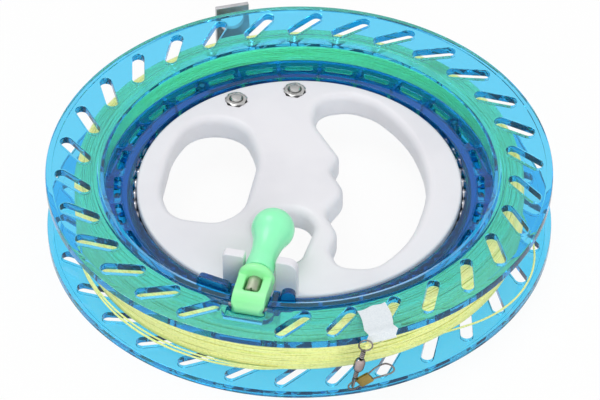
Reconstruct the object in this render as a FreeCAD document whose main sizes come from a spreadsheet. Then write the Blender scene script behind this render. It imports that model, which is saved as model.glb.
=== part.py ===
import FreeCAD, Part
import math
import os
import re

import Sketcher

# Kite line winder: a hand grip plate inside a ball-bearing wheel that carries the line.
# Millimetres. The origin is on the spin axis, at the underside of the grip plate, +Z up.

Vector = FreeCAD.Vector
Rotation = FreeCAD.Rotation
Placement = FreeCAD.Placement
UP = Vector(0, 0, 1)
ORIGIN = Vector(0, 0, 0)

doc = FreeCAD.newDocument("kite_line_winder")
sheet = doc.addObject("Spreadsheet::Sheet", "Sizes")
size = {}


def driving(alias, number):
    """Write one driving dimension into the sheet and keep its number for the code below."""
    row = len(size) + 1
    sheet.set(f"A{row}", alias)
    sheet.set(f"B{row}", str(number))
    sheet.setAlias(f"B{row}", alias)
    size[alias] = number


# Grip plate
driving("hub_radius", 64.3)
driving("hub_thickness", 11.6)
driving("hub_rim_bevel", 1.0)
driving("hole_bevel", 2.4)
driving("post_offset", 10.5)
driving("post_width", 8.5)
driving("post_depth", 4.0)
driving("post_rise", 16.6)
driving("post_round", 4.0)

# Ball bearing between the grip plate and the wheel
driving("bearing_gap", 1.5)
driving("ball_diameter", 6.0)
driving("race_clearance", 0.05)
driving("ball_count", 64)

# Wheel
driving("rim_radius", 100.0)
driving("bead_width", 2.6)
driving("bead_rise", 0.4)
driving("drum_radius", 79.5)
driving("drum_wall", 2.5)
driving("spool_half_width", 11.3)
driving("flange_thickness", 3.2)
driving("ridge_width", 2.0)
driving("ridge_rise", 1.1)
driving("shelf_height", 5.4)
driving("shelf_thickness", 2.2)
driving("race_ring_radius", 69.9)
driving("slot_count", 30)
driving("slot_start", 268.4)
driving("slot_radius", 89.3)
driving("slot_length", 17.5)
driving("slot_width", 4.8)
driving("slot_slant", 45.0)
driving("window_count", 28)
driving("window_start", 90.0)
driving("window_radius", 71.9)
driving("window_length", 11.5)
driving("window_width", 2.6)
driving("rib_width", 1.5)
driving("screw_start", 32.143)
driving("screw_count", 4)
driving("screw_circle", 73.45)
driving("boss_diameter", 6.0)
driving("screw_diameter", 2.9)
driving("screw_head_diameter", 5.2)
driving("screw_head_height", 1.2)
driving("screw_bite", 4.0)
driving("screw_clearance", 0.1)
driving("screw_tip_gap", 0.2)

# Crank
driving("crank_angle", 256.0)
driving("crank_tilt", 5.0)
driving("pin_radius_place", 81.5)
driving("pin_height", 13.2)
driving("pin_diameter", 2.6)
driving("pin_play", 0.05)
driving("pin_hole_wall", 0.5)
driving("pin_end_gap", 0.1)
driving("seat_width", 17.5)
driving("seat_outer", 87.4)
driving("seat_inner", 70.0)
driving("seat_wall", 1.5)
driving("seat_floor", 9.7)
driving("seat_round", 3.0)
driving("base_width", 14.7)
driving("base_length", 16.0)
driving("base_height", 9.0)
driving("base_axis_rise", 2.6)
driving("base_heel", 3.0)
driving("base_lobe", 3.1)
driving("base_wall", 3.4)
driving("base_round", 1.2)
driving("opening_length", 8.4)
driving("opening_width", 7.0)
driving("collar_diameter", 10.6)
driving("collar_height", 1.0)
driving("spindle_diameter", 3.0)
driving("spindle_play", 0.1)
driving("spindle_head_diameter", 5.6)
driving("spindle_head_height", 2.4)
driving("spindle_length", 30.0)
driving("knob_gap", 0.3)
driving("knob_neck", 10.0)
driving("knob_neck_length", 9.0)
driving("knob_bulb", 17.0)
driving("knob_length", 32.2)
driving("knob_waist_angle", 130.0)
driving("knob_facets", 7)
driving("left_lug_angle", 244.0)
driving("left_lug_radius", 74.7)
driving("left_lug_width", 14.0)
driving("left_lug_top", 17.6)
driving("left_lug_round", 2.2)
driving("right_lug_angle", 266.6)
driving("right_lug_radius", 71.9)
driving("right_lug_width", 5.8)
driving("right_lug_top", 15.6)
driving("right_lug_round", 2.8)
driving("lug_thickness", 3.0)

# Line guide
driving("guide_angle", 103.8)
driving("strip_thickness", 2.0)
driving("foot_width", 34.0)
driving("foot_inner", 49.0)
driving("arm_width", 13.8)
driving("step_start", 63.5)
driving("arm_start", 76.0)
driving("arm_clearance", 0.8)
driving("upright_inner", 114.0)
driving("upright_top", 12.9)
driving("lip_length", 2.4)
driving("bend_radius", 2.5)
driving("eye_height", 5.0)
driving("eye_diameter", 9.5)
driving("bolt_circle", 56.6)
driving("bolt_spacing", 24.2)
driving("bolt_diameter", 5.0)
driving("bolt_play", 0.1)
driving("bolt_head_diameter", 9.0)
driving("bolt_head_height", 2.75)
driving("nut_flats", 8.0)
driving("nut_height", 4.0)
driving("nut_play", 0.1)
driving("nut_pocket_depth", 3.4)
driving("bolt_end_rise", 1.0)

# Line, paper tab and swivel
driving("line_diameter", 0.8)
driving("line_slack", 0.05)
driving("winding_radius", 88.6)
driving("winding_shoulder", 1.2)
driving("tab_angle", 285.0)
driving("tab_sweep", 7.0)
driving("tab_inner", 85.5)
driving("tab_thickness", 0.25)
driving("tab_drop", 4.2)
driving("ring_x", 25.2)
driving("ring_y", -99.9)
driving("ring_z", 18.6)
driving("ring_diameter", 5.5)
driving("wire_diameter", 0.7)
driving("swivel_lean", 13.6)
driving("barrel_diameter", 4.3)
driving("barrel_length", 6.0)
driving("barrel_wall", 0.6)
driving("stem_diameter", 1.3)
driving("stem_play", 0.05)
driving("stem_head_diameter", 2.6)
driving("stem_head_height", 1.0)
driving("upper_stem", 4.6)
driving("lower_stem", 3.6)
driving("lower_ring_diameter", 5.0)
driving("snap_rise", 37.0)
driving("snap_drop", 0.5)
driving("loop_width", 3.7)
driving("loop_left", 3.4)
driving("loop_right", 17.3)
driving("sleeve_left", 1.5)
driving("sleeve_right", 7.3)
driving("sleeve_width", 4.3)
driving("sleeve_thickness", 1.5)
driving("sleeve_play", 0.02)
driving("tail_gap", 0.3)
driving("tail_reach", 2.1)

doc.recompute()

MIDDLE = "hub_thickness / 2"
BALL_PITCH = "(hub_radius + bearing_gap / 2)"
RACE_DEPTH = "((ball_diameter / 2 + race_clearance) * sqrt(2))"
RACE_EDGE = f"({RACE_DEPTH} - bearing_gap / 2)"


# ---------------------------------------------------------------- helpers

def bound(text):
    """Turn a rule written with size names into an expression on the sheet."""
    def with_sheet(match):
        word = match.group()
        return f"Sizes.{word}" if word in size else word
    return re.sub(r"[a-z_]+", with_sheet, str(text))


def number(text):
    """Give the present value of a rule written with size names."""
    result = sheet.evalExpression(bound(text))
    return float(getattr(result, "Value", result))


def bind(thing, **rules):
    """Tie properties of an object to the sheet."""
    for name, rule in rules.items():
        thing.setExpression(name, bound(rule))


def polar(radius, degrees, height=0.0):
    """Point at a radius, angle and height about the spin axis."""
    angle = math.radians(degrees)
    return Vector(radius * math.cos(angle), radius * math.sin(angle), height)


def new_body(label):
    """Start a sub-part that is built from features."""
    body = doc.addObject("PartDesign::Body", label)
    body.Label = label
    return body


def origin_part(body, role):
    """Find a plane or an axis of a body's own origin."""
    for feature in body.Origin.OriginFeatures:
        if feature.Role == role:
            return feature
    raise ValueError(role)


def new_sketch(body, name, role="XY_Plane", height="0", turn="0", x="0", y="0"):
    """Start a sketch on a plane of the body's origin, lifted and turned by rules."""
    sketch = body.newObject("Sketcher::SketchObject", name)
    sketch.AttachmentSupport = (origin_part(body, role), [""])
    sketch.MapMode = "FlatFace"
    place = Vector(number(x), number(y), number(height))
    sketch.AttachmentOffset = Placement(place, Rotation(UP, number(turn)))
    for axis, rule in (("x", x), ("y", y), ("z", height)):
        if rule != "0":
            sketch.setExpression(f"AttachmentOffset.Base.{axis}", bound(rule))
    if turn != "0":
        sketch.setExpression("AttachmentOffset.Rotation.Angle", bound(turn))
    return sketch


def arc_between(start, end, radius):
    """Arc from start to end, to the left of travel for a positive radius."""
    chord = end.sub(start)
    half = chord.Length / 2
    reach = math.sqrt(max(radius * radius - half * half, 0.0))
    normal = Vector(-chord.y, chord.x, 0).normalize()
    centre = start.add(end).multiply(0.5).add(normal.multiply(math.copysign(reach, radius)))
    first, last = (start, end) if radius > 0 else (end, start)
    turn_from = math.atan2(first.y - centre.y, first.x - centre.x)
    turn_to = math.atan2(last.y - centre.y, last.x - centre.x)
    circle = Part.Circle(centre, UP, abs(radius))
    return Part.ArcOfCircle(circle, turn_from, turn_to)


def pin_corner(sketch, edge, end, x, y):
    """Hold the end of an edge at a place given by two rules."""
    for kind, axis, rule in (("DistanceX", -2, x), ("DistanceY", -1, y)):
        place = number(rule)
        if abs(place) < 1e-9:
            sketch.addConstraint(Sketcher.Constraint("PointOnObject", edge, end, axis))
            continue
        held = sketch.addConstraint(Sketcher.Constraint(kind, -1, 1, edge, end, place))
        if isinstance(rule, str):
            sketch.setExpression(f"Constraints[{held}]", bound(rule))


def outline(sketch, corners):
    """Closed outline. A corner is (x, y), or (x, y, radius) where an arc leaves it,
    counter-clockwise for a positive radius. Every entry is a rule."""
    places = [Vector(number(corner[0]), number(corner[1]), 0) for corner in corners]
    edges = []
    for index, corner in enumerate(corners):
        start = places[index]
        end = places[(index + 1) % len(corners)]
        if len(corner) == 2:
            edges.append((sketch.addGeometry(Part.LineSegment(start, end)), 1, 2))
            continue
        radius = number(corner[2])
        edge = sketch.addGeometry(arc_between(start, end, radius))
        edges.append((edge, 1, 2) if radius > 0 else (edge, 2, 1))
        held = sketch.addConstraint(Sketcher.Constraint("Radius", edge, abs(radius)))
        if isinstance(corner[2], str):
            sketch.setExpression(f"Constraints[{held}]", bound(f"abs({corner[2]})"))
    for index, (edge, first, last) in enumerate(edges):
        following, start_of_next, _ = edges[(index + 1) % len(edges)]
        sketch.addConstraint(
            Sketcher.Constraint("Coincident", edge, last, following, start_of_next))
        pin_corner(sketch, edge, first, corners[index][0], corners[index][1])


def rounded_outline(sketch, corners):
    """Closed outline inside a frame of corners (x, y, radius), straight between its arcs."""
    ends = []
    for index, (x, y, radius) in enumerate(corners):
        corner = Vector(x, y, 0)
        following = corners[(index + 1) % len(corners)]
        before = Vector(*corners[index - 1][:2], 0).sub(corner).normalize()
        after = Vector(*following[:2], 0).sub(corner).normalize()
        trim = radius / math.tan(before.getAngle(after) / 2)
        enter = corner + before * trim
        leave = corner + after * trim
        turn = math.copysign(radius, after.cross(before).z)
        ends.append((enter.x, enter.y, turn))
        ends.append((leave.x, leave.y))
    outline(sketch, ends)


def rectangle(sketch, x_low, x_high, y_low, y_high):
    """Closed rectangle between four rules."""
    outline(sketch, [(x_low, y_low), (x_high, y_low), (x_high, y_high), (x_low, y_high)])


def slot(sketch, length, width):
    """Closed slot with round ends along the sketch's X axis, centred on its origin."""
    reach = number(f"(({length}) - ({width})) / 2")
    radius = number(f"({width}) / 2")
    right = Part.Circle(Vector(reach, 0, 0), UP, radius)
    left = Part.Circle(Vector(-reach, 0, 0), UP, radius)
    shapes = [
        Part.LineSegment(Vector(-reach, -radius, 0), Vector(reach, -radius, 0)),
        Part.ArcOfCircle(right, -math.pi / 2, math.pi / 2),
        Part.LineSegment(Vector(reach, radius, 0), Vector(-reach, radius, 0)),
        Part.ArcOfCircle(left, math.pi / 2, 3 * math.pi / 2)]
    edges = [sketch.addGeometry(shape) for shape in shapes]
    for one, two in zip(edges, edges[1:] + edges[:1]):
        sketch.addConstraint(Sketcher.Constraint("Tangent", one, 2, two, 1))
    right_end, left_end = edges[1], edges[3]
    sketch.addConstraint(Sketcher.Constraint("PointOnObject", right_end, 3, -1))
    sketch.addConstraint(Sketcher.Constraint("Symmetric", right_end, 3, left_end, 3, -1, 1))
    held = sketch.addConstraint(Sketcher.Constraint("DistanceX", -1, 1, right_end, 3, reach))
    sketch.setExpression(f"Constraints[{held}]", bound(f"(({length}) - ({width})) / 2"))
    held = sketch.addConstraint(Sketcher.Constraint("Radius", right_end, radius))
    sketch.setExpression(f"Constraints[{held}]", bound(f"({width}) / 2"))


def circle(sketch, diameter, x="0", y="0"):
    """Circle of a given diameter at a place given by two rules."""
    centre = Vector(number(x), number(y), 0)
    edge = sketch.addGeometry(Part.Circle(centre, UP, number(diameter) / 2))
    held = sketch.addConstraint(Sketcher.Constraint("Diameter", edge, number(diameter)))
    sketch.setExpression(f"Constraints[{held}]", bound(diameter))
    pin_corner(sketch, edge, 3, x, y)


def hexagon(sketch, flats, x="0", y="0"):
    """Regular hexagon by its width across flats."""
    reach = f"({flats}) / sqrt(3)"
    corners = []
    for index in range(6):
        turn = math.radians(60 * index)
        corners.append((f"{x} + ({reach}) * {round(math.cos(turn), 9)}",
                        f"{y} + ({reach}) * {round(math.sin(turn), 9)}"))
    outline(sketch, corners)


def revolve(body, name, sketch, angle="360"):
    """Revolve a sketch about its vertical axis."""
    feature = body.newObject("PartDesign::Revolution", name)
    feature.Profile = sketch
    feature.ReferenceAxis = (sketch, ["V_Axis"])
    feature.Angle = number(angle)
    if angle != "360":
        bind(feature, Angle=angle)
    doc.recompute()
    return feature


def pad(body, name, sketch, length, centred=False, back=False):
    """Add material from a sketch, along its normal unless back is set."""
    feature = body.newObject("PartDesign::Pad", name)
    feature.Profile = sketch
    feature.Reversed = back
    if centred:
        feature.SideType = "Symmetric"
    bind(feature, Length=length)
    doc.recompute()
    return feature


def pocket(body, name, sketch, length, centred=False, up=False):
    """Cut a sketch away, against its normal unless up is set. The volume must drop."""
    before = body.Shape.Volume
    feature = body.newObject("PartDesign::Pocket", name)
    feature.Profile = sketch
    feature.Reversed = up
    if centred:
        feature.SideType = "Symmetric"
    bind(feature, Length=length)
    doc.recompute()
    if feature.Shape.Volume >= before:
        raise ValueError(f"{body.Label} {name} cuts nothing")
    return feature


def pattern(body, name, feature, count, angle="360"):
    """Repeat a feature about the spin axis."""
    repeat = body.newObject("PartDesign::PolarPattern", name)
    repeat.Originals = [feature]
    repeat.Axis = (origin_part(body, "Z_Axis"), [""])
    bind(repeat, Angle=angle, Occurrences=count)
    body.Tip = repeat
    doc.recompute()
    return repeat


def dress_edges(body, name, feature, amount, wanted, kind="Fillet", dimension="Radius"):
    """Round or bevel the edges that the rule picks."""
    names = []
    for index, edge in enumerate(feature.Shape.Edges):
        if wanted(edge):
            names.append(f"Edge{index + 1}")
    if not names:
        raise ValueError(f"{body.Label} {name} finds no edge")
    dressing = body.newObject(f"PartDesign::{kind}", name)
    dressing.Base = (feature, names)
    bind(dressing, **{dimension: amount})
    doc.recompute()
    return dressing


def turned(axis, degrees):
    """Rule for a turn about an axis."""
    return f"create(<<rotation>>; create(<<vector>>; {axis}); {degrees})"


def place_at(body, x="0", y="0", z="0", turn=None):
    """Give a sub-part its place, and its turn if there is one, by rules."""
    turn = turn or turned("0; 0; 1", "0")
    bind(body, Placement=f"create(<<placement>>; create(<<vector>>; {x}; {y}; {z}); {turn})")
    doc.recompute()
    return body


# ---------------------------------------------------------------- grip plate

def thumb_corners():
    """Egg-shaped hole for the thumb: corners of a frame and the radius inside each."""
    return [(-55.0, -4.0, 30.0), (-50.5, 24.0, 40.0), (-42.0, 40.5, 13.0), (-23.0, 39.5, 14.0),
            (-16.0, 18.0, 34.0), (-22.0, -14.0, 17.0), (-32.5, -20.5, 10.0),
            (-49.5, -17.5, 11.0)]


def finger_corners():
    """Hole for four fingers; its left side is a row of finger hollows."""
    return [(43.5, 34.9, 60.0), (52.2, 1.5, 60.0), (43.5, -31.9, 50.0), (29.0, -47.8, 12.0),
            (15.5, -46.2, 6.0), (12.3, -37.5, 9.0), (15.2, -27.0, 9.0), (10.6, -15.5, 6.0),
            (18.4, -2.5, 9.0), (13.0, 9.3, 6.0), (16.4, 18.0, 6.0), (6.0, 39.0, 14.0),
            (8.0, 52.5, 8.0), (20.0, 54.8, 12.0), (29.5, 50.5, 16.0)]


def palm_corners():
    """Small hole under the crank knob."""
    return [(-18.8, -21.5, 10.0), (-11.0, -14.0, 8.0), (1.5, -14.0, 8.0), (6.3, -23.0, 9.0),
            (0.0, -43.5, 7.0), (-14.0, -45.5, 7.0)]


def make_hub_plate():
    """Round white plate that the hand holds, with the inner race in its edge."""
    body = new_body("hub_plate")
    profile = new_sketch(body, "PlateProfile", "XZ_Plane")
    inner = "hub_radius - hub_rim_bevel"
    outline(profile, [
        ("0", "0"),
        (inner, "0"),
        ("hub_radius", "hub_rim_bevel"),
        ("hub_radius", f"{MIDDLE} - {RACE_EDGE}"),
        (f"{BALL_PITCH} - {RACE_DEPTH}", MIDDLE),
        ("hub_radius", f"{MIDDLE} + {RACE_EDGE}"),
        ("hub_radius", "hub_thickness - hub_rim_bevel"),
        (inner, "hub_thickness"),
        ("0", "hub_thickness")])
    revolve(body, "Plate", profile)
    for side, name in ((-1, "LeftPost"), (1, "RightPost")):
        add_post(body, side, name)
    for side, name in ((-1, "LeftBolt"), (1, "RightBolt")):
        bolt_y = f"{side} * bolt_spacing / 2"
        hole = new_sketch(body, name + "Hole", "XY_Plane", "hub_thickness", "guide_angle")
        circle(hole, "bolt_diameter + 2 * bolt_play", "bolt_circle", bolt_y)
        pocket(body, name + "Cut", hole, "hub_thickness")
        seat = new_sketch(body, name + "Seat", "XY_Plane", "hub_thickness", "guide_angle")
        hexagon(seat, "nut_flats + 2 * nut_play", "bolt_circle", bolt_y)
        pocket(body, name + "SeatCut", seat, "nut_pocket_depth")
    cut_hand_holes(body)
    return body


def add_post(body, side, name):
    """Lock post that stands beside the folded crank on the plate's edge."""
    near = f"{side} * (post_offset - post_width / 2)"
    far = f"{side} * (post_offset + post_width / 2)"
    outer = "hub_radius - hub_rim_bevel / 2"
    sketch = new_sketch(body, name + "Outline", "XY_Plane",
                        "hub_thickness - hub_rim_bevel", "crank_angle")
    outline(sketch, [
        (f"hub_radius - post_depth", near),
        (f"sqrt(({outer}) ^ 2 - ({near}) ^ 2)", near, f"{side} * ({outer})"),
        (f"sqrt(({outer}) ^ 2 - ({far}) ^ 2)", far),
        (f"hub_radius - post_depth - 2 * hub_rim_bevel", far)])
    post = pad(body, name, sketch, "post_rise + hub_rim_bevel")
    if side < 0:
        return post

    def outer_top(edge):
        box = edge.BoundBox
        sideways = polar(1, number("crank_angle") + 90).dot(edge.CenterOfMass)
        return (box.ZLength < 1e-6 and abs(box.ZMax - number("hub_thickness + post_rise")) < 1e-6
                and abs(sideways - number(far)) < 1e-6)

    return dress_edges(body, name + "Round", post, "post_round", outer_top)


def cut_hand_holes(body):
    """Cut the three hand holes and bevel their edges."""
    for name, corners in (("Thumb", thumb_corners()), ("Fingers", finger_corners()),
                          ("Palm", palm_corners())):
        sketch = new_sketch(body, name + "Outline", "XY_Plane", "hub_thickness")
        rounded_outline(sketch, corners)
        last = pocket(body, name + "Hole", sketch, "hub_thickness")
    faces = (0.0, number("hub_thickness"))
    bolts = bolt_places()
    reach = number("hub_radius - post_depth - 2 * hub_rim_bevel")

    def on_hand_hole(edge):
        middle = edge.valueAt((edge.FirstParameter + edge.LastParameter) / 2)
        flat = edge.BoundBox.ZLength < 1e-6
        on_face = min(abs(middle.z - face) for face in faces) < 1e-6
        radius = math.hypot(middle.x, middle.y)
        spot = Vector(middle.x, middle.y, 0)
        near_bolt = min(spot.distanceToPoint(bolt) for bolt in bolts) < number("nut_flats")
        return flat and on_face and radius < reach and not near_bolt

    return dress_edges(body, "HoleBevels", last, "hole_bevel", on_hand_hole,
                       "Chamfer", "Size")


# ---------------------------------------------------------------- wheel

def make_shell(label, side):
    """One moulded half of the wheel: flange, drum half, shelf and outer race half."""
    body = new_body(label)

    def height(rule):
        return f"{MIDDLE} + {side} * ({rule})"

    bore = "hub_radius + bearing_gap"
    drum_inner = "drum_radius - drum_wall"
    flange_top = "spool_half_width + flange_thickness"
    profile = new_sketch(body, "Profile", "XZ_Plane")
    outline(profile, [
        ("drum_radius", height("0")),
        ("drum_radius", height("spool_half_width")),
        ("rim_radius", height("spool_half_width")),
        ("rim_radius", height(f"{flange_top} + bead_rise")),
        ("rim_radius - bead_width", height(f"{flange_top} + bead_rise")),
        ("rim_radius - bead_width", height(flange_top)),
        ("drum_radius + ridge_width", height(flange_top)),
        ("drum_radius + ridge_width", height(f"{flange_top} + ridge_rise")),
        (drum_inner, height(f"{flange_top} + ridge_rise")),
        (drum_inner, height("shelf_height")),
        (bore, height("shelf_height")),
        (bore, height(RACE_EDGE)),
        (f"{BALL_PITCH} + {RACE_DEPTH}", height("0")),
        ("race_ring_radius", height("0")),
        ("race_ring_radius", height("shelf_height - shelf_thickness")),
        (drum_inner, height("shelf_height - shelf_thickness")),
        (drum_inner, height("0"))])
    revolve(body, "Shell", profile)
    add_ribs(body, side)
    add_bosses(body, side)
    cut_windows(body, side)
    cut_slots(body, side)
    return body


def add_ribs(body, side):
    """Radial ribs in the cavity between the race ring and the drum."""
    pitch = "360 / window_count"
    sketch = new_sketch(body, "RibOutline", "XY_Plane", MIDDLE, f"window_start + {pitch} / 2")
    rectangle(sketch, "race_ring_radius - 0.5 * drum_wall", "drum_radius - 0.5 * drum_wall",
              "-rib_width / 2", "rib_width / 2")
    rib = pad(body, "Rib", sketch, "shelf_height - shelf_thickness / 2", back=side < 0)
    return pattern(body, "Ribs", rib, "window_count")


def add_bosses(body, side):
    """Four screw bosses; the lower ones let the screws through, the upper ones hold them."""
    sketch = new_sketch(body, "BossOutline", "XY_Plane", MIDDLE, "screw_start")
    circle(sketch, "boss_diameter", "screw_circle")
    boss = pad(body, "Boss", sketch, "shelf_height - shelf_thickness / 2", back=side < 0)
    pattern(body, "Bosses", boss, "screw_count")
    hole = new_sketch(body, "ScrewOutline", "XY_Plane", MIDDLE, "screw_start")
    if side > 0:
        circle(hole, "screw_diameter", "screw_circle")
        cut = pocket(body, "ScrewHole", hole, "screw_bite", up=True)
        return pattern(body, "ScrewHoles", cut, "screw_count")
    circle(hole, "screw_diameter + 2 * screw_clearance", "screw_circle")
    cut = pocket(body, "ScrewHole", hole, "shelf_height")
    pattern(body, "ScrewHoles", cut, "screw_count")
    seat = new_sketch(body, "HeadOutline", "XY_Plane",
                      f"{MIDDLE} - shelf_height + screw_head_height", "screw_start")
    circle(seat, "screw_head_diameter + 2 * screw_clearance", "screw_circle")
    cut = pocket(body, "HeadSeat", seat, "screw_head_height")
    return pattern(body, "HeadSeats", cut, "screw_count")


def cut_windows(body, side):
    """Ring of long windows in the shelf."""
    level = f"{MIDDLE} + {side} * (shelf_height - shelf_thickness)"
    sketch = new_sketch(body, "WindowOutline", "XY_Plane", level, "window_start + 90",
                        "window_radius * cos(window_start)", "window_radius * sin(window_start)")
    rectangle(sketch, "-window_length / 2", "window_length / 2",
              "-window_width / 2", "window_width / 2")
    cut = pocket(body, "Window", sketch, "shelf_thickness", up=side > 0)
    return pattern(body, "Windows", cut, "window_count")


def cut_slots(body, side):
    """Slanted slots in the flange; the upper flange has none at the crank."""
    level = f"{MIDDLE} + {side} * spool_half_width"
    sketch = new_sketch(body, "SlotOutline", "XY_Plane", level, "slot_start - slot_slant",
                        "slot_radius * cos(slot_start)", "slot_radius * sin(slot_start)")
    slot(sketch, "slot_length", "slot_width")
    cut = pocket(body, "Slot", sketch, "flange_thickness", up=side > 0)
    if side > 0:
        return pattern(body, "Slots", cut, "slot_count - 1",
                       "360 * (slot_count - 2) / slot_count")
    return pattern(body, "Slots", cut, "slot_count")


def make_upper_shell():
    """Upper half, with the crank's seat and the two lugs beside it."""
    body = make_shell("upper_shell", 1)
    flange_top = "spool_half_width + flange_thickness"
    half = "(seat_width / 2 + seat_wall)"
    block = new_sketch(body, "SeatBlockOutline", "XY_Plane",
                       f"{MIDDLE} + shelf_height - shelf_thickness / 2", "crank_angle")
    rectangle(block, "seat_inner", "drum_radius - drum_wall / 2", f"-{half}", half)
    pad(body, "SeatBlock", block, f"{flange_top} - shelf_height + shelf_thickness / 2")
    ledge = new_sketch(body, "SeatLedgeOutline", "XY_Plane",
                       f"{MIDDLE} + seat_floor - seat_wall", "crank_angle")
    rectangle(ledge, "drum_radius - drum_wall", "seat_outer + seat_wall", f"-{half}", half)
    pad(body, "SeatLedge", ledge, f"{flange_top} - seat_floor + seat_wall")
    hollow = new_sketch(body, "SeatOutline", "XY_Plane", f"{MIDDLE} + seat_floor", "crank_angle")
    outline(hollow, [
        ("seat_inner - drum_wall", "-seat_width / 2"),
        ("seat_outer - seat_round", "-seat_width / 2", "seat_round"),
        ("seat_outer", "seat_round - seat_width / 2"),
        ("seat_outer", "seat_width / 2 - seat_round", "seat_round"),
        ("seat_outer - seat_round", "seat_width / 2"),
        ("seat_inner - drum_wall", "seat_width / 2")])
    pocket(body, "Seat", hollow, f"{flange_top} + ridge_rise", up=True)
    pin = crank_side_sketch(body, "PinOutline")
    circle(pin, "pin_diameter", "pin_radius_place", f"{MIDDLE} + pin_height")
    pocket(body, "PinHole", pin, "seat_width + 2 * (seat_wall - pin_hole_wall)", centred=True)
    for name, lug in (("LeftLug", "left_lug"), ("RightLug", "right_lug")):
        add_lug(body, name, lug)
    return body


def crank_side_sketch(body, name):
    """Start a sketch on the upright plane through the spin axis and the crank."""
    sketch = new_sketch(body, name, "XZ_Plane")
    sketch.AttachmentOffset = Placement(ORIGIN, Rotation(Vector(0, 1, 0), number("crank_angle")))
    sketch.setExpression("AttachmentOffset.Rotation.Angle", bound("crank_angle"))
    return sketch


def add_lug(body, name, lug):
    """Upright lug on the shelf, its two top corners round, drawn across the radius."""
    angle, half, rounding = f"{lug}_angle", f"{lug}_width / 2", f"{lug}_round"
    low, top = f"{MIDDLE} + shelf_height - shelf_thickness / 2", f"{MIDDLE} + {lug}_top"
    sketch = new_sketch(body, name + "Outline", "XZ_Plane")
    sketch.AttachmentOffset = Placement(ORIGIN, Rotation(Vector(0, 1, 0), number(angle) + 90))
    sketch.setExpression("AttachmentOffset.Rotation.Angle", bound(f"{angle} + 90"))
    sketch.setExpression("AttachmentOffset.Base.x", bound(f"{lug}_radius * cos({angle})"))
    sketch.setExpression("AttachmentOffset.Base.z", bound(f"-{lug}_radius * sin({angle})"))
    outline(sketch, [
        (f"-{half}", low), (half, low),
        (half, f"{top} - {rounding}", rounding), (f"{half} - {rounding}", top),
        (f"{rounding} - {half}", top, rounding), (f"-{half}", f"{top} - {rounding}")])
    pad(body, name, sketch, "lug_thickness", centred=True)


def make_shell_screws():
    """Four self-tapping screws that hold the two halves together, heads below."""
    screws = []
    for index in range(int(size["screw_count"])):
        angle = number("screw_start") + 360 * index / number("screw_count")
        seat = number(f"{MIDDLE} - shelf_height + screw_head_height")
        head = Part.makeCylinder(number("screw_head_diameter") / 2,
                                 number("screw_head_height"),
                                 polar(number("screw_circle"), angle,
                                       seat - number("screw_head_height")))
        length = number(f"{MIDDLE} + screw_bite - screw_tip_gap") - seat
        shank = Part.makeCylinder(number("screw_diameter") / 2, length,
                                  polar(number("screw_circle"), angle, seat))
        screws.append(head.fuse(shank).removeSplitter())
    return feature_of("shell_screws", Part.makeCompound(screws))


def feature_of(label, shape):
    """Keep a shape that the code above has built as an object of the document."""
    thing = doc.addObject("Part::Feature", label)
    thing.Label = label
    thing.Shape = shape
    thing.Placement = Placement()
    return thing


def ball(radius, centre):
    """Ball with flat facets, small enough in number for a full bearing."""
    ratio = (1 + math.sqrt(5)) / 2
    corners = []
    for first in (-1, 1):
        for second in (-ratio, ratio):
            corners.append(Vector(0, first, second))
            corners.append(Vector(first, second, 0))
            corners.append(Vector(second, 0, first))
    faces = []
    for one in range(12):
        for two in range(one + 1, 12):
            for three in range(two + 1, 12):
                trio = [corners[one], corners[two], corners[three]]
                sides = [trio[0].sub(trio[1]).Length, trio[1].sub(trio[2]).Length,
                         trio[2].sub(trio[0]).Length]
                if max(sides) < 2.1:
                    scaled = [centre + corner * (radius / corner.Length) for corner in trio]
                    faces.append(Part.Face(Part.makePolygon(scaled + [scaled[0]])))
    solid = Part.makeSolid(Part.makeShell(faces))
    return solid if solid.Volume > 0 else solid.reversed()


def make_bearing_balls():
    """Full ring of balls between the grip plate and the wheel."""
    balls = []
    one = ball(number("ball_diameter") / 2, ORIGIN)
    for index in range(int(size["ball_count"])):
        angle = 360 * index / size["ball_count"]
        placed = one.copy()
        placed.Placement = Placement(polar(number(BALL_PITCH), angle, number(MIDDLE)),
                                     Rotation(UP, angle))
        balls.append(placed)
    return feature_of("bearing_balls", Part.makeCompound(balls))


# ---------------------------------------------------------------- crank

def crank_frame(body):
    """Put a crank piece, drawn about the hinge pin, in its folded place."""
    spin = turned("0; 0; 1", "crank_angle")
    tilt = turned("0; 1; 0", "crank_tilt")
    return place_at(body, "pin_radius_place * cos(crank_angle)",
                    "pin_radius_place * sin(crank_angle)", f"{MIDDLE} + pin_height",
                    f"{spin} * {tilt}")


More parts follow.
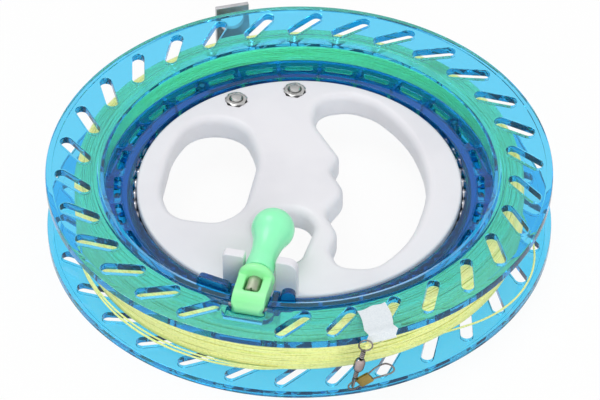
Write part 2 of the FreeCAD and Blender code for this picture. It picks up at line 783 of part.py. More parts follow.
def make_crank_base():
    """Folding yoke of the crank, with a window over the spindle's head."""
    body = new_body("crank_base")
    low = "(base_axis_rise - base_height / 2)"
    top = "(base_axis_rise + base_height / 2)"
    side = new_sketch(body, "SideProfile", "XZ_Plane")
    outline(side, [
        (f"-sqrt(base_lobe ^ 2 - {low} ^ 2)", low, "base_lobe"),
        ("base_lobe * sqrt(0.5)", "base_lobe * sqrt(0.5)"),
        ("-base_heel", top),
        ("-base_length", top),
        ("-base_length", low)])
    block = pad(body, "Block", side, "base_width", centred=True)

    def top_corner(edge):
        box = edge.BoundBox
        return box.ZLength < 1e-6 and abs(box.ZMax - number(top)) < 1e-6

    dress_edges(body, "TopRounds", block, "base_round", top_corner)
    collar = new_sketch(body, "CollarOutline", "YZ_Plane", "-base_length - collar_height")
    circle(collar, "collar_diameter", "0", "base_axis_rise")
    pad(body, "Collar", collar, "collar_height + base_round")
    opening = new_sketch(body, "OpeningOutline", "XY_Plane", top)
    rectangle(opening, "base_wall - base_length", "base_wall - base_length + opening_length",
              "-opening_width / 2", "opening_width / 2")
    pocket(body, "Opening", opening, "base_height + base_lobe")
    bore = new_sketch(body, "BoreOutline", "YZ_Plane", "-base_length - collar_height")
    circle(bore, "spindle_diameter + 2 * spindle_play", "0", "base_axis_rise")
    pocket(body, "Bore", bore, "base_wall + collar_height", up=True)
    pin = new_sketch(body, "PinOutline", "XZ_Plane")
    circle(pin, "pin_diameter + 2 * pin_play")
    pocket(body, "PinBore", pin, "base_width", centred=True)
    return crank_frame(body)


def make_hinge_pin():
    """Steel pin that the crank folds about, held in the walls of its seat."""
    body = new_body("hinge_pin")
    sketch = new_sketch(body, "PinOutline", "XZ_Plane")
    circle(sketch, "pin_diameter")
    pad(body, "Pin", sketch, "seat_width + 2 * (seat_wall - pin_hole_wall - pin_end_gap)",
        centred=True)
    return crank_frame(body)


def make_knob_screw():
    """Shouldered spindle of the knob; its head shows in the yoke's window."""
    body = new_body("knob_screw")
    head_place = "base_wall - base_length + spindle_play"
    head = new_sketch(body, "HeadOutline", "YZ_Plane", head_place)
    circle(head, "spindle_head_diameter", "0", "base_axis_rise")
    pad(body, "Head", head, "spindle_head_height")
    shank = new_sketch(body, "ShankOutline", "YZ_Plane", head_place)
    circle(shank, "spindle_diameter", "0", "base_axis_rise")
    pad(body, "Shank", shank, "spindle_length", back=True)
    drive = new_sketch(body, "DriveOutline", "YZ_Plane", f"{head_place} + spindle_head_height")
    rectangle(drive, "-spindle_head_diameter / 2", "spindle_head_diameter / 2",
              "base_axis_rise - spindle_diameter / 8", "base_axis_rise + spindle_diameter / 8")
    pocket(body, "Drive", drive, "spindle_head_height / 3")
    return crank_frame(body)


def bulb_corners(radius, centre):
    """Corners of the bulb's profile, from where the waist meets it to its end."""
    corners = []
    facets = int(size["knob_facets"])
    start = math.radians(size["knob_waist_angle"])
    for index in range(facets):
        turn = start * (1 - index / facets)
        corners.append((f"{radius} * {round(math.sin(turn), 6)}",
                        f"{centre} + {radius} * {round(math.cos(turn), 6)}"))
    return corners


def make_crank_knob():
    """Turned knob: a straight neck that swells into a round bulb."""
    body = new_body("crank_knob")
    bulb = "(knob_bulb / 2)"
    centre = f"(knob_length - {bulb})"
    profile = new_sketch(body, "KnobProfile", "XZ_Plane")
    bore = "(spindle_diameter / 2)"
    depth = "(spindle_length - base_wall - collar_height - knob_gap - spindle_play)"
    outline(profile, [
        (bore, "0"),
        ("knob_neck / 2", "0"),
        ("knob_neck / 2", "knob_neck_length"),
        *bulb_corners(bulb, centre),
        ("0", "knob_length"),
        ("0", depth),
        (bore, depth)])
    revolve(body, "Knob", profile)
    foot = "(base_length + collar_height + knob_gap)"
    reach = f"(pin_radius_place - {foot} * cos(crank_tilt) + base_axis_rise * sin(crank_tilt))"
    spin = turned("0; 0; 1", "crank_angle")
    tilt = turned("0; 1; 0", "crank_tilt - 90")
    return place_at(body, f"{reach} * cos(crank_angle)", f"{reach} * sin(crank_angle)",
                    f"{MIDDLE} + pin_height + {foot} * sin(crank_tilt)"
                    " + base_axis_rise * cos(crank_tilt)", f"{spin} * {tilt}")


# ---------------------------------------------------------------- line guide

def make_guide_bracket():
    """Bent aluminium strip: foot under the plate, arm under the wheel, upright with eye."""
    body = new_body("guide_bracket")
    wheel_low = f"({MIDDLE} - spool_half_width - flange_thickness - ridge_rise)"
    arm_top = f"({wheel_low} - arm_clearance)"
    arm_low = f"({arm_top} - strip_thickness)"
    outer = "(upright_inner + strip_thickness)"
    side = new_sketch(body, "StripProfile", "XZ_Plane")
    outline(side, [
        ("foot_inner", "0"),
        ("step_start", "0"),
        ("arm_start", arm_top),
        ("upright_inner", arm_top),
        ("upright_inner", "upright_top"),
        (f"{outer} + lip_length", "upright_top"),
        (f"{outer} + lip_length", "upright_top - strip_thickness"),
        (outer, "upright_top - strip_thickness"),
        (outer, arm_low),
        ("arm_start - strip_thickness * 0.7", arm_low),
        ("step_start - strip_thickness * 0.7", "-strip_thickness"),
        ("foot_inner", "-strip_thickness")])
    strip = pad(body, "Strip", side, "foot_width", centred=True)

    def at_bend(edge):
        box = edge.BoundBox
        if box.XLength > 1e-6 or box.ZLength > 1e-6:
            return False
        corner = abs(box.ZMax - number(arm_low)) < 1e-6 and abs(box.XMax - number(outer)) < 1e-6
        return corner

    dress_edges(body, "Bend", strip, "bend_radius", at_bend)
    trim = new_sketch(body, "TrimOutline", "XY_Plane", arm_low)
    for side_sign in (-1, 1):
        rectangle(trim, "step_start + strip_thickness", f"{outer} + 2 * lip_length",
                  f"{side_sign} * arm_width / 2", f"{side_sign} * foot_width")
    pocket(body, "Trim", trim, "upright_top + foot_width", up=True)
    eye = new_sketch(body, "EyeOutline", "YZ_Plane", "upright_inner")
    circle(eye, "eye_diameter", "0", "eye_height")
    pocket(body, "Eye", eye, "strip_thickness", up=True)
    holes = new_sketch(body, "BoltOutline", "XY_Plane", "0")
    for side_sign in (-1, 1):
        circle(holes, "bolt_diameter + 2 * bolt_play", "bolt_circle",
               f"{side_sign} * bolt_spacing / 2")
    pocket(body, "BoltHoles", holes, "strip_thickness")
    return place_at(body, turn=turned("0; 0; 1", "guide_angle"))


def bolt_places():
    """The two bolt axes, at the plate's underside."""
    places = []
    for side in (-1, 1):
        radius = math.hypot(number("bolt_circle"), number("bolt_spacing") / 2)
        turn = math.degrees(math.atan2(side * number("bolt_spacing") / 2,
                                       number("bolt_circle")))
        places.append(polar(radius, number("guide_angle") + turn))
    return places


def make_guide_bolts():
    """Two bolts up through the bracket's foot and the plate."""
    bolts = []
    top = number("hub_thickness - nut_pocket_depth + nut_height + bolt_end_rise")
    under = -number("strip_thickness")
    for place in bolt_places():
        shank = Part.makeCylinder(number("bolt_diameter") / 2, top - under,
                                  place + Vector(0, 0, under))
        head = Part.makeCylinder(number("bolt_head_diameter") / 2, number("bolt_head_height"),
                                 place + Vector(0, 0, under - number("bolt_head_height")))
        bolts.append(shank.fuse(head).removeSplitter())
    return feature_of("guide_bolts", Part.makeCompound(bolts))


def make_guide_nuts():
    """Two hexagon nuts sunk in the top of the plate."""
    nuts = []
    reach = number("nut_flats") / math.sqrt(3)
    low = number("hub_thickness - nut_pocket_depth")
    for place in bolt_places():
        corners = []
        for index in range(7):
            corners.append(place + polar(reach, number("guide_angle") + 60 * index, low))
        blank = Part.Face(Part.makePolygon(corners)).extrude(Vector(0, 0, number("nut_height")))
        thread = Part.makeCylinder(number("bolt_diameter") / 2, number("nut_height"),
                                   place + Vector(0, 0, low))
        nuts.append(blank.cut(thread))
    return feature_of("guide_nuts", Part.makeCompound(nuts))


# ---------------------------------------------------------------- line and paper tab

def make_line_winding():
    """Wound line between the flanges, as one ring with a notch under the crank's seat."""
    body = new_body("line_winding")
    profile = new_sketch(body, "WindingProfile", "XZ_Plane")
    inner = "drum_radius + line_slack"
    low = f"{MIDDLE} - spool_half_width + line_slack"
    high = f"{MIDDLE} + spool_half_width - line_slack"
    shoulder = "winding_radius - winding_shoulder"
    outline(profile, [
        (inner, low),
        (shoulder, low),
        ("winding_radius", f"{low} + 2 * winding_shoulder"),
        ("winding_radius", f"{high} - 2 * winding_shoulder"),
        (shoulder, high),
        (inner, high)])
    revolve(body, "Winding", profile)
    notch = new_sketch(body, "NotchOutline", "XY_Plane",
                       f"{MIDDLE} + seat_floor - seat_wall - line_slack", "crank_angle")
    half = "(seat_width / 2 + seat_wall + line_slack)"
    rectangle(notch, "drum_radius - drum_wall", "winding_radius + drum_wall",
              f"-{half}", half)
    pocket(body, "Notch", notch, "spool_half_width", up=True)
    return body


def cord_solid(points, radius):
    """Tube of straight runs joined by tangent arcs as large as the runs allow."""
    edges = []
    start = points[0]
    radii = []
    for index in range(1, len(points) - 1):
        before = points[index].sub(points[index - 1])
        after = points[index + 1].sub(points[index])
        turn = before.getAngle(after)
        shorter = min(before.Length, after.Length)
        trim = 0.45 * shorter
        radii.append(trim / math.tan(turn / 2))
        enter = points[index] - before.normalize() * trim
        leave = points[index] + after.normalize() * trim
        back = (enter.sub(points[index]) + leave.sub(points[index])).normalize()
        middle_reach = radii[-1] / math.cos(turn / 2) - radii[-1]
        middle = points[index] + back * middle_reach
        edges.append(Part.LineSegment(start, enter).toShape())
        edges.append(Part.Arc(enter, middle, leave).toShape())
        start = leave
    edges.append(Part.LineSegment(start, points[-1]).toShape())
    path = Part.Wire(edges)
    tangent = edges[0].Curve.Direction
    ring = Part.Wire([Part.makeCircle(radius, points[0], tangent)])
    tube = path.makePipeShell([ring], True, True)
    print("cord radii", [round(value, 1) for value in radii], "length", round(path.Length, 1))
    print("cord volume", round(tube.Volume, 2), "rule",
          round(math.pi * radius * radius * path.Length, 2))
    return tube


def strand_points():
    """Loose outer turn that lies on the lower flange, right of the swivel."""
    low = number(f"{MIDDLE} - spool_half_width + line_diameter / 2 + line_slack")
    route = [(309.0, 88.0, 0.6), (313.5, 90.0, 0.3), (319.0, 93.2, 0.0), (325.0, 96.0, 0.0),
             (331.5, 97.6, 0.0), (338.0, 97.6, 0.0), (344.0, 96.4, 0.0), (350.0, 94.0, 0.0),
             (355.5, 91.2, 0.3), (360.5, 88.0, 0.8)]
    return [polar(radius, angle, low + rise) for angle, radius, rise in route]


def make_line_strand():
    """Loose strand of line on the lower flange."""
    return feature_of("line_strand", cord_solid(strand_points(), size["line_diameter"] / 2))


def tail_points():
    """End of the line, from the winding out past the upper rim and through the swivel's ring."""
    lean = math.radians(size["swivel_lean"])
    rise = number("ring_diameter / 2 - wire_diameter - line_diameter / 2 - tail_gap")
    x = size["ring_x"] + rise * math.sin(lean)
    z = size["ring_z"] + rise * math.cos(lean)
    return [polar(88.0, 300.0, 10.0), polar(91.5, 294.5, 12.6), polar(97.8, 289.4, 14.4),
            Vector(27.7, -97.7, 15.3), Vector(x, -98.3, z),
            Vector(x, size["ring_y"] - size["tail_reach"], z)]


def make_line_tail():
    """Free end of the line, tied to the swivel."""
    return feature_of("line_tail", cord_solid(tail_points(), size["line_diameter"] / 2))


def make_tape_tab():
    """Paper tab stuck over the upper rim above the line's end."""
    body = new_body("tape_tab")
    face = f"({MIDDLE} + spool_half_width + flange_thickness + line_slack)"
    bead = f"({face} + bead_rise)"
    wall = "(rim_radius + line_slack)"
    profile = new_sketch(body, "TabProfile", "XZ_Plane")
    inner_bead = "(rim_radius - bead_width - line_slack)"
    outline(profile, [
        ("tab_inner", face),
        (inner_bead, face),
        (inner_bead, bead),
        (wall, bead),
        (wall, f"{bead} - tab_drop"),
        (f"{wall} + tab_thickness", f"{bead} - tab_drop"),
        (f"{wall} + tab_thickness", f"{bead} + tab_thickness"),
        (f"{inner_bead} - tab_thickness", f"{bead} + tab_thickness"),
        (f"{inner_bead} - tab_thickness", f"{face} + tab_thickness"),
        ("tab_inner", f"{face} + tab_thickness")])
    revolve(body, "Tab", profile, "tab_sweep")
    return place_at(body, turn=turned("0; 0; 1", "tab_angle"))


# ---------------------------------------------------------------- swivel and snap

def swivel_frame(body):
    """Put a swivel piece, drawn hanging from the ring's centre, in its leaning place."""
    return place_at(body, "ring_x", "ring_y", "ring_z", turned("0; 1; 0", "swivel_lean"))


def barrel_top():
    """Height of the barrel's upper end below the ring's centre, as a rule."""
    return "(-ring_diameter / 2 - upper_stem)"


def wire_ring(body, name, level, diameter, role):
    """Ring of wire that stands upright on a plane, centred at a level."""
    sketch = new_sketch(body, name + "Outline", role)
    circle(sketch, diameter, "0", level)
    circle(sketch, f"{diameter} - 2 * wire_diameter", "0", level)
    return pad(body, name, sketch, "wire_diameter", centred=True)


def make_swivel_eye_upper():
    """Upper ring and stem of the swivel, headed inside the barrel."""
    body = new_body("swivel_eye_upper")
    wire_ring(body, "Ring", "0", "ring_diameter", "XZ_Plane")
    stem = new_sketch(body, "StemOutline", "XY_Plane", "wire_diameter / 2 - ring_diameter / 2")
    circle(stem, "stem_diameter")
    depth = "upper_stem + wire_diameter / 2 + barrel_wall + stem_play"
    pad(body, "Stem", stem, depth, back=True)
    head = new_sketch(body, "HeadOutline", "XY_Plane",
                      f"{barrel_top()} - barrel_wall - stem_play")
    circle(head, "stem_head_diameter")
    pad(body, "Head", head, "stem_head_height", back=True)
    return swivel_frame(body)


def make_swivel_barrel():
    """Hollow barrel that lets the two eyes turn."""
    body = new_body("swivel_barrel")
    top = barrel_top()
    low = f"({top} - barrel_length)"
    outer = "barrel_diameter / 2"
    inner = "(barrel_diameter / 2 - barrel_wall)"
    hole = "(stem_diameter / 2 + stem_play)"
    profile = new_sketch(body, "BarrelProfile", "XZ_Plane")
    outline(profile, [
        (hole, top),
        (f"{outer} - barrel_wall", top),
        (outer, f"{top} - barrel_wall"),
        (outer, f"{low} + barrel_wall"),
        (f"{outer} - barrel_wall", low),
        (hole, low),
        (hole, f"{low} + barrel_wall"),
        (inner, f"{low} + barrel_wall"),
        (inner, f"{top} - barrel_wall"),
        (hole, f"{top} - barrel_wall")])
    revolve(body, "Barrel", profile)
    return swivel_frame(body)


def lower_ring_level():
    """Level of the lower ring's centre, as a rule."""
    return f"({barrel_top()} - barrel_length - lower_stem - lower_ring_diameter / 2)"


def make_swivel_eye_lower():
    """Lower stem of the swivel, and its ring across the upper one."""
    body = new_body("swivel_eye_lower")
    wire_ring(body, "Ring", lower_ring_level(), "lower_ring_diameter", "YZ_Plane")
    low = f"({barrel_top()} - barrel_length)"
    stem = new_sketch(body, "StemOutline", "XY_Plane",
                      f"{low} - lower_stem - wire_diameter / 2")
    circle(stem, "stem_diameter")
    pad(body, "Stem", stem, "lower_stem + wire_diameter / 2 + barrel_wall + stem_play")
    head = new_sketch(body, "HeadOutline", "XY_Plane", f"{low} + barrel_wall + stem_play")
    circle(head, "stem_head_diameter")
    pad(body, "Head", head, "stem_head_height")
    return swivel_frame(body)


def snap_frame(body):
    """Put a snap piece in place: its upper wire runs through the swivel's lower ring."""
    reach = f"({lower_ring_level()} - snap_drop)"
    half = "((loop_width - wire_diameter) / 2)"
    return place_at(body, f"ring_x + {reach} * sin(swivel_lean) + {half} * sin(snap_rise)",
                    "ring_y", f"ring_z + {reach} * cos(swivel_lean) - {half} * cos(snap_rise)",
                    turned("0; 1; 0", "-snap_rise"))


def snap_loop(body, name, play):
    """Sketch of the spring wire's long loop, grown by a play on both of its sides."""
    sketch = new_sketch(body, name, "XZ_Plane", x="(loop_right - loop_left) / 2")
    length = "(loop_left + loop_right)"
    slot(sketch, f"{length} + 2 * {play}", f"loop_width + 2 * {play}")
    slot(sketch, f"{length} - 2 * (wire_diameter + {play})",
         f"loop_width - 2 * (wire_diameter + {play})")
    return sketch


def make_snap_plate():
    """Folded brass sleeve of the snap, closed round the two sides of the wire loop."""
    body = new_body("snap_plate")
    sketch = new_sketch(body, "SleeveOutline", "XZ_Plane")
    rectangle(sketch, "sleeve_left", "sleeve_right", "-sleeve_width / 2", "sleeve_width / 2")
    pad(body, "Sleeve", sketch, "sleeve_thickness", centred=True)
    channels = snap_loop(body, "ChannelOutline", "sleeve_play")
    pocket(body, "Channels", channels, "wire_diameter + 2 * sleeve_play", centred=True)
    return snap_frame(body)


def make_snap_wire():
    """Spring wire loop of the snap, hung in the swivel's lower ring."""
    body = new_body("snap_wire")
    pad(body, "Loop", snap_loop(body, "LoopOutline", "0"), "wire_diameter", centred=True)
    return snap_frame(body)


# ---------------------------------------------------------------- build and write

makers = [
    make_hub_plate,
    make_upper_shell,
    lambda: make_shell("lower_shell", -1),
    make_shell_screws,
    make_bearing_balls,
    make_crank_base,
    make_hinge_pin,
    make_knob_screw,
    make_crank_knob,
    make_guide_bracket,
    make_guide_bolts,
    make_guide_nuts,
    make_line_winding,
    make_line_strand,
    make_line_tail,
    make_tape_tab,
    make_swivel_eye_upper,
    make_swivel_barrel,
    make_swivel_eye_lower,
    make_snap_plate,
    make_snap_wire,
]
pieces = [maker() for maker in makers]
doc.recompute()

for thing in doc.Objects:
    if "Invalid" in thing.State or "Error" in thing.State:
        raise ValueError(f"{thing.Label} failed: {thing.State}")
for piece in pieces:
    if piece.Shape.isNull() or not piece.Shape.isValid():
        raise ValueError(f"{piece.Label} has no valid shape")

os.makedirs("parts", exist_ok=True)
for piece in pieces:
    piece.Shape.exportStep(f"parts/{piece.Label}.step")
    box = piece.Shape.BoundBox
    print(piece.Label, len(piece.Shape.Solids), "solids", round(piece.Shape.Volume, 1),
          [round(value, 1) for value in (box.XMin, box.YMin, box.ZMin,
                                         box.XMax, box.YMax, box.ZMax)])
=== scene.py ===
import math
import random

import bmesh
import bpy
import numpy as np
from mathutils import Matrix, Vector, geometry


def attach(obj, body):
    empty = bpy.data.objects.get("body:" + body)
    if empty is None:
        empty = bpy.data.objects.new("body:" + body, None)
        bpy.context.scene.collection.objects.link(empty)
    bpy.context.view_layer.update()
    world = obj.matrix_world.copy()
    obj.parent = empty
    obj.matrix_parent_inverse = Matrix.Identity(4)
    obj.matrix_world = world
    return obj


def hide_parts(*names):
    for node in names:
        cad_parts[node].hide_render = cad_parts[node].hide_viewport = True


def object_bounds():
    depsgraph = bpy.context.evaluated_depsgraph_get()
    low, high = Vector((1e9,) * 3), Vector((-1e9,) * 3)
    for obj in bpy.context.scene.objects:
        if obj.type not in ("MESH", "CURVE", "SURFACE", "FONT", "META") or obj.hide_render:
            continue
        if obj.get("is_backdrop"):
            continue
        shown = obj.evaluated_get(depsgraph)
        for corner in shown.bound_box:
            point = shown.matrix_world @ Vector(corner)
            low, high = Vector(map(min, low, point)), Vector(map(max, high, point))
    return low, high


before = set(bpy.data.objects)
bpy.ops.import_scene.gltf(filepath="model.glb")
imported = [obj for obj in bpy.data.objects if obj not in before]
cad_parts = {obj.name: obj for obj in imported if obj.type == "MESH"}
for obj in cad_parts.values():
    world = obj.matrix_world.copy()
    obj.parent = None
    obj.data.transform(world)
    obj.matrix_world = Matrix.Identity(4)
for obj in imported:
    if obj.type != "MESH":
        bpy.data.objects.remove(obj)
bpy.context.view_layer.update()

# Kite line winder. Shapes are written in millimetres and turned to metres when a piece is made.
MM = 0.001
MID = 5.8              # middle plane of the wheel and the plate
CRANK = 256.0          # where the crank and the guide stand, degrees
GUIDE = 103.8
PIN_RADIUS, PIN_HEIGHT = 81.5, 19.0
KNOB_RISE = 2.6        # knob's axis over the crank's pin
SWIVEL_Y = -99.9
EYE_X, EYE_Z = 25.517, 19.912          # where the tail holds the swivel's ring
LINE_RADIUS = 0.4
LINE_LOW, LINE_HIGH = -5.5, 17.1       # inner faces of the two flanges
PLATE_TOP = 11.6
BOSS_RADIUS, BOSS_START = 73.45, 32.143
BOLT_REACH, BOLT_SPREAD = 56.6, 12.1
NUT_FLATS, NUT_BASE = 8.0, 8.2
UPRIGHT = 115                          # radius of the guide's upright
STEPS = 360
random.seed(7)
scene = bpy.context.scene


# ---- places

def polar(radius, degrees, height=0.0):
    angle = math.radians(degrees)
    return (radius * math.cos(angle), radius * math.sin(angle), height)


def turn(degrees, axis="Z"):
    return Matrix.Rotation(math.radians(degrees), 4, axis)


def shift(x, y, z):
    return Matrix.Translation((x, y, z))


crank_frame = shift(*polar(PIN_RADIUS, CRANK, PIN_HEIGHT)) @ turn(CRANK) @ turn(5.0, "Y")
knob_frame = crank_frame @ shift(-17.3, 0, KNOB_RISE) @ turn(-90, "Y")
swivel_frame = shift(25.2, SWIVEL_Y, 18.6) @ turn(13.6, "Y")
guide_frame = turn(GUIDE)


# ---- camera

def add_object(name, data):
    made = bpy.data.objects.new(name, data)
    scene.collection.objects.link(made)
    return made


def make_camera():
    """The photo's camera as fitted to the wheel, in degrees and millimetres."""
    focal_pixels, photo_width, sensor = 5432.2, 600, 36.0
    elevation, roll, distance = 41.673, -0.111, 2169.97
    data = bpy.data.cameras.new("camera")
    data.sensor_width = sensor
    data.lens = focal_pixels * sensor / photo_width
    data.clip_start = 0.1
    data.clip_end = 30
    camera = add_object("camera", data)
    target = Vector((0.303, 14.505, -9.1))
    rise = math.radians(elevation)
    back = Vector((0, -math.cos(rise), math.sin(rise)))
    camera.matrix_world = (Matrix.Translation((target + back * distance) * MM)
                           @ turn(90 - elevation, "X") @ turn(roll, "Z"))
    scene.camera = camera


make_camera()


# ---- material nodes

def set_input(tree, socket, value):
    """Give a socket a number or a colour, or link it to another node's output."""
    if isinstance(value, bpy.types.NodeSocket):
        tree.links.new(value, socket)
    else:
        socket.default_value = value


def feed(tree, node, **inputs):
    """Set a node's inputs by name, with _ for each space."""
    for name, value in inputs.items():
        set_input(tree, node.inputs[name.replace("_", " ")], value)


def add_node(tree, kind, output, **inputs):
    """Add a shader node, set its inputs and give back the named output."""
    node = tree.nodes.new("ShaderNode" + kind)
    feed(tree, node, **inputs)
    return node.outputs[output]


def nodes_of(name):
    material = bpy.data.materials.new(name)
    material.use_nodes = True
    tree = material.node_tree
    return material, tree, tree.nodes["Principled BSDF"], add_node(tree, "TexCoord", "Object")


def noise(tree, place, scale, detail=3.0, stretch=None):
    if stretch:
        place = add_node(tree, "Mapping", "Vector", Vector=place, Scale=stretch)
    return add_node(tree, "TexNoise", "Fac", Vector=place, Scale=scale, Detail=detail)


def ramp(tree, source, stops):
    node = tree.nodes.new("ShaderNodeValToRGB")
    first, last = node.color_ramp.elements[0], node.color_ramp.elements[1]
    first.position, first.color = stops[0][0], (*stops[0][1], 1)
    last.position, last.color = stops[-1][0], (*stops[-1][1], 1)
    for position, colour in stops[1:-1]:
        node.color_ramp.elements.new(position).color = (*colour, 1)
    tree.links.new(source, node.inputs["Fac"])
    return node.outputs["Color"]


def spread_value(tree, source, low, high):
    return add_node(tree, "MapRange", "Result", Value=source, To_Min=low, To_Max=high)


def bump(tree, shader, source, strength, distance):
    normal = add_node(tree, "Bump", "Normal", Height=source, Strength=strength, Distance=distance)
    feed(tree, shader, Normal=normal)


def mix_colours(tree, share, one, two, blend="MIX"):
    """Blend two colours by a share of 0 to 1."""
    mix = tree.nodes.new("ShaderNodeMix")
    mix.data_type = "RGBA"
    mix.blend_type = blend
    feed(tree, mix, Factor=share, A=one, B=two)
    return mix.outputs["Result"]


def mix_shaders(tree, share, one, two, out):
    """Blend two shaders by a share of 0 to 1 into an output."""
    mix = tree.nodes.new("ShaderNodeMixShader")
    for source, socket in zip((share, one, two), mix.inputs):
        tree.links.new(source, socket)
    tree.links.new(mix.outputs["Shader"], out.inputs["Surface"])


def seen_directly(tree, share):
    """share for rays from the camera, off metal and through glass, 0 for the rest."""
    path = tree.nodes.new("ShaderNodeLightPath")
    value = path.outputs["Is Camera Ray"]
    for operation, other in (("MAXIMUM", path.outputs["Is Glossy Ray"]),
                             ("MAXIMUM", path.outputs["Is Transmission Ray"]),
                             ("MULTIPLY", share)):
        node = tree.nodes.new("ShaderNodeMath")
        node.operation = operation
        for socket, source in zip(node.inputs, (value, other)):
            set_input(tree, socket, source)
        value = node.outputs["Value"]
    return value


def linear(red, green, blue):
    """Screen colour of 0 to 255 as the numbers a shader takes."""
    out = []
    for value in (red, green, blue):
        share = value / 255
        out.append(share / 12.92 if share <= 0.04045 else ((share + 0.055) / 1.055) ** 2.4)
    return tuple(out)


def clear_plastic(name, tint, roughness, clear):
    """See-through plastic, tinted at its surface, that lets shadow rays through."""
    material, tree, shader, place = nodes_of(name)
    haze = noise(tree, place, 90, 4.0)
    feed(tree, shader, Base_Color=(*tint, 1), Transmission_Weight=clear, IOR=1.42,
         Roughness=spread_value(tree, haze, roughness * 0.4, roughness * 1.6))
    bump(tree, shader, noise(tree, place, 28, 2.0), 0.05, 0.0004)
    mix_shaders(tree, add_node(tree, "LightPath", "Is Shadow Ray"), shader.outputs["BSDF"],
                add_node(tree, "BsdfTransparent", "BSDF"), tree.nodes["Material Output"])
    return material


def moulded(name, colour, darker, roughness, grain=900, depth=0.00004, **extra):
    """Solid moulded plastic with a faint grain and slightly uneven colour."""
    material, tree, shader, place = nodes_of(name)
    cloud = noise(tree, place, 30, 3.0)
    fine = noise(tree, place, grain, 2.0)
    feed(tree, shader, Base_Color=ramp(tree, cloud, [(0.3, darker), (0.6, colour)]),
         Roughness=spread_value(tree, fine, roughness * 0.85, roughness * 1.2), **extra)
    bump(tree, shader, fine, 0.25, depth)
    return material


def metal(name, colour, darker, roughness, brushing, rim=None):
    """Metal brushed along one axis, with a few darker stains, and with painted shade that darkens
    edges turned from view towards a rim colour if one is given.
    """
    material, tree, shader, place = nodes_of(name)
    lines = noise(tree, place, 400, 4.0, (1, 1, brushing))
    tone = ramp(tree, noise(tree, place, 160, 3.0), [(0.35, darker), (0.62, colour)])
    if rim:
        # Painted shade: edges turned away from view are darkened towards the rim colour.
        facing = add_node(tree, "LayerWeight", "Facing", Blend=0.58)
        tone = mix_colours(tree, facing, tone, (*rim, 1))
    feed(tree, shader, Metallic=1.0, Base_Color=tone,
         Roughness=spread_value(tree, lines, roughness * 0.6, roughness * 1.5))
    bump(tree, shader, lines, 0.3, 0.00002)
    return material


def braided_line(name, colour, shade, deep):
    """Thin braided line: fine diagonal plait with painted shade in the gaps between strands, and
    darker and paler lengths.
    """
    material, tree, shader, place = nodes_of(name)
    plait = noise(tree, place, 1000, 1.0, (1, 1, 1.3))
    lengths = noise(tree, place, 45, 3.0, (1, 1, 26))
    base = ramp(tree, lengths, [(0.27, deep), (0.37, shade), (0.46, colour)])
    # Painted shade: the plait's low spots darken the gaps between strands.
    plait_crease_shade = ramp(tree, plait, [(0.38, (0.74, 0.74, 0.5)), (0.52, (1, 1, 1))])
    feed(tree, shader, Base_Color=mix_colours(tree, 0.4, base, plait_crease_shade, "MULTIPLY"),
         Roughness=0.62, Sheen_Weight=0.25)
    bump(tree, shader, plait, 0.5, 0.00012)
    return material


def paper(name):
    """Thin crumpled paper, fibres and faint creases."""
    material, tree, shader, place = nodes_of(name)
    fibres = noise(tree, place, 1500, 5.0, (1, 3, 1))
    tones = [(0.3, linear(212, 221, 228)), (0.7, linear(240, 245, 248))]
    feed(tree, shader, Base_Color=ramp(tree, fibres, tones), Roughness=0.8)
    bump(tree, shader, noise(tree, place, 240, 5.0), 0.7, 0.0003)
    return material


clear_blue = clear_plastic("clear_blue", (0.12, 0.64, 0.93), 0.03, 0.96)
# The same clear plastic, tinted paler for the drum wall as painted light and deeper for thick and
# upright parts as painted shade.
painted_light_blue = clear_plastic("painted_light_blue", (0.2, 0.88, 1.0), 0.03, 0.96)
painted_shade_blue = clear_plastic("painted_shade_blue", (0.01, 0.3, 0.66), 0.04, 0.93)
knob_green = moulded("knob_green", linear(158, 255, 203), linear(138, 252, 184), 0.3,
                     500, 0.00001, Subsurface_Weight=0.25, Subsurface_Scale=0.004,
                     Subsurface_Radius=(0.6, 1, 0.7), Coat_Weight=0.2)
yoke_green = moulded("yoke_green", linear(168, 255, 186), linear(146, 252, 160), 0.32,
                     500, 0.00001, Subsurface_Weight=0.25, Subsurface_Scale=0.003,
                     Subsurface_Radius=(0.6, 1, 0.6), Coat_Weight=0.15)
white_plastic = moulded("white_plastic", linear(236, 235, 240), linear(228, 227, 233), 0.42)
line_yellow = braided_line("line_yellow", linear(255, 255, 172), linear(246, 250, 156),
                           linear(222, 228, 126))
white_paper = paper("white_paper")
# The aluminium colour is darkened below bare aluminium, partly as painted shade for the guide's
# upright, which stands in shade.
aluminium_painted_shade = metal("aluminium_painted_shade", (0.52, 0.52, 0.54), (0.38, 0.38, 0.4), 0.36, 12)
# The last colour given to zinc, the steels, brass and ball steel is painted shade for their edges.
zinc = metal("zinc", (0.68, 0.68, 0.68), (0.44, 0.44, 0.44), 0.28, 5, (0.16, 0.15, 0.14))
dull_zinc = metal("dull_zinc", (0.5, 0.54, 0.42), (0.38, 0.41, 0.32), 0.55, 3)
bright_steel = metal("bright_steel", (0.4, 0.37, 0.36), (0.16, 0.14, 0.14), 0.25, 2,
                     (0.05, 0.04, 0.04))
barrel_steel = metal("barrel_steel", (0.6, 0.5, 0.49), (0.28, 0.22, 0.21), 0.18, 2,
                     (0.06, 0.04, 0.04))
dark_steel = metal("dark_steel", (0.2, 0.21, 0.23), (0.12, 0.13, 0.15), 0.3, 2)
brass = metal("brass", (0.5, 0.38, 0.12), (0.2, 0.14, 0.04), 0.3, 2, (0.08, 0.05, 0.01))
ball_steel = metal("ball_steel", (0.6, 0.6, 0.63), (0.4, 0.4, 0.43), 0.12, 1, (0.03, 0.03, 0.04))


# ---- mesh building

def inside(polygon, points):
    """Which points lie inside a closed polygon."""
    hit = np.zeros(len(points), bool)
    x, y = points[:, 0], points[:, 1]
    for (x0, y0), (x1, y1) in zip(polygon, np.roll(polygon, -1, axis=0)):
        if y0 == y1:
            continue
        crosses = (y0 > y) != (y1 > y)
        hit ^= crosses & (x < (x1 - x0) * (y - y0) / (y1 - y0) + x0)
    return hit


